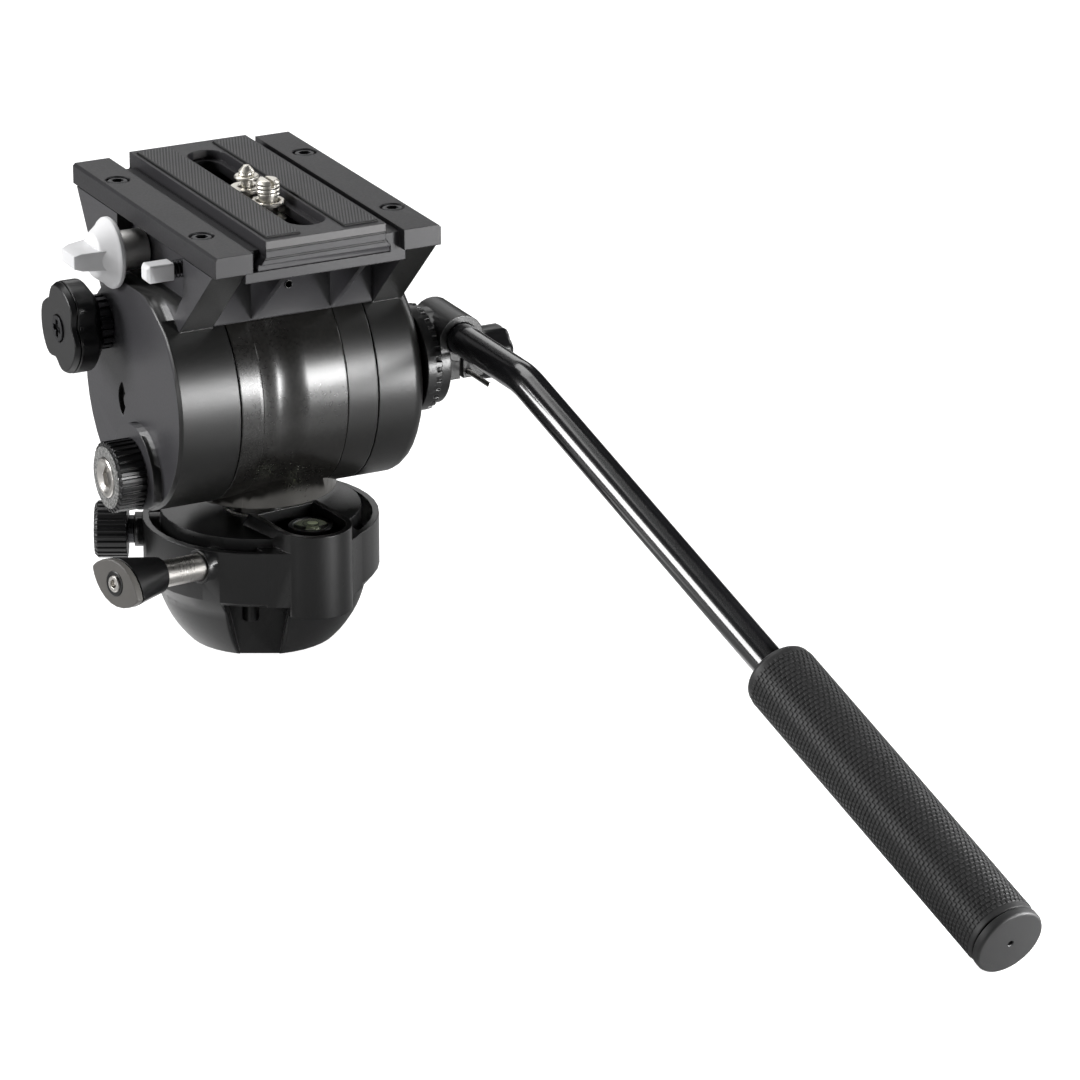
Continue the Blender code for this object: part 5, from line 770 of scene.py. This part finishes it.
rings_of = repeater("rings_along_a_bar", True)
first_ring = grip_turn @ Matrix.Translation((0, 0, 0.1832))
repeated("rubber_grip_studs", rings_of, stud, stud_sizes, "bar_twist", first_ring)
end_cap = lathe([
    (0.0048, 0.3143), (0.0048, 0.3263), (0.0134, 0.3263), (0.0138, 0.3267), (0.0138, 0.3288),
    (0.0134, 0.3296), (0.0127, 0.3300), (0.0014, 0.3300), (0.0011, 0.3297), (0.0011, 0.3270),
    (0.0001, 0.3269),
], 64)
make("grip_end_cap_skin", end_cap, black_rubber, "bar_twist", ("grip_end_cap",), turn=grip_turn)

# The inner pieces: spindle, axle, races, discs, bushes, stems and nuts, turned from steel. They stay
# inside the housings, or show only at an edge, so they keep their CAD meshes and get their finishes.
slot_finish = {
    "black_casting": black_cast, "black_plastic": black_knob, "black_rubber": black_rubber,
    "black_gloss": black_cast, "white_plastic": white_knob, "grey_plastic": grey_face,
    "bright_steel": bright_steel, "dark_steel": dark_steel, "level_glass": clear_window,
}
for part in frame["record"]["subparts"]:
    frame["nodes"][part["node"]].data.materials[0] = slot_finish[part["material_slot"]]
frame["nodes"]["release_stem"].data.materials[0] = dark_steel

# The studio: a camera with a long lens at the photograph's angle, from the front left and above, and
# soft boxes over, behind and beside the head. One is low beside the lens, and a small strip lies close
# to the nose.
scene = bpy.context.scene
scene.view_settings.view_transform = "Standard"
camera_data = bpy.data.cameras.new("camera")
camera_data.sensor_width = 36
camera_data.lens = 209.1
camera_data.clip_end = 20
camera = added("camera", camera_data)
camera_axes = Matrix(((0.8907, 0.1609, -0.4252), (-0.4546, 0.3153, -0.8330), (0, 0.9353, 0.3540)))
camera.matrix_world = Matrix.Translation((-0.9520, -2.1066, 0.9108)) @ camera_axes.to_4x4()
scene.camera = camera

for name, place, target, width, height, power in (
    ("overhead_box", (-0.10, 0.65, 1.35), (0, 0, 0.15), 1.1, 0.8, 9.0),
    ("lens_box", (0.66, -1.42, 0.34), (0, 0, 0.1), 0.40, 0.42, 21.0),
    ("left_box", (-1.45, -0.55, 0.20), (0, 0, 0.1), 0.5, 0.5, 3.5),
    ("tube_box", (-1.25, 0.58, 0.62), (0.08, -0.19, 0.09), 0.6, 0.7, 21.0),
    ("right_box", (1.5, 0.1, 0.7), (0.05, -0.1, 0.08), 0.4, 1.0, 7.0),
    ("back_box", (0.62, 1.40, 0.72), (0, 0, 0.15), 1.1, 0.5, 2.4),
    ("low_strip", (0.26, -0.48, 0.07), (0, -0.03, 0.05), 0.05, 0.15, 1.6),
):
    light_data = bpy.data.lights.new(name, "AREA")
    light_data.shape = "RECTANGLE"
    light_data.size = width
    light_data.size_y = height
    light_data.energy = power
    light = added(name, light_data)
    light.location = place
    light.rotation_euler = (Vector(target) - Vector(place)).to_track_quat("-Z", "Y").to_euler()

# The floor and the air: pale paper just under the lowest piece. It looks white to the camera, and in
# reflections only, two round patches of it glow white as painted reflections, one in front of the head and
# one at its left.
paper = Finish("floor_paper_and_card_reflections", Roughness=0.9, Specular_IOR_Level=0.1, Base_Color=(0.45, 0.45, 0.45, 1.0))
seen = paper.node("ShaderNodeLightPath", {}, (), "Is Camera Ray")
mirrored = paper.node("ShaderNodeLightPath", {}, (), "Is Glossy Ray")
# Painted reflections: two round patches that glow only for reflected rays, with no card there.
painted_card_reflections = 0.0
for card, reach, level in (((0.09, -0.22, 0.0), 0.11, 0.8), ((-0.085, 0.02, 0.0), 0.09, 1.0)):
    away = paper.node("ShaderNodeVectorMath", {"operation": "DISTANCE"}, (paper.place, card), "Value")
    painted_card_reflections = (1.0 - away.ramp(reach * 0.6, reach)) * level + painted_card_reflections
glow = paper.blend(seen + mirrored * painted_card_reflections, (0, 0, 0), (0.90, 0.90, 0.90))
paper.set(Emission_Color=glow, Emission_Strength=1.0)
floor_half, lowest = 6, cad_bounds[0][2]
floor_mesh = bpy.data.meshes.new("floor")
floor_corners = [(x * floor_half, y * floor_half, lowest) for x, y in square]
floor_mesh.from_pydata(floor_corners, [], [(0, 1, 2, 3)])
floor_mesh.materials.append(paper.material)
floor = added("floor", floor_mesh)

world = bpy.data.worlds.new("studio_air")
world.use_nodes = True
nodes, links = world.node_tree.nodes, world.node_tree.links
background = nodes["Background"]
background.inputs["Color"].default_value = (1.0, 1.0, 1.0, 1.0)
path = nodes.new("ShaderNodeLightPath")
direct = nodes.new("ShaderNodeMath")
direct.operation = "MAXIMUM"
links.new(path.outputs["Is Camera Ray"], direct.inputs[0])
links.new(path.outputs["Is Transmission Ray"], direct.inputs[1])
air = nodes.new("ShaderNodeMapRange")
air.inputs["To Min"].default_value = 0.004
air.inputs["To Max"].default_value = 1.0
links.new(direct.outputs[0], air.inputs["Value"])
links.new(air.outputs[0], background.inputs["Strength"])
scene.world = world
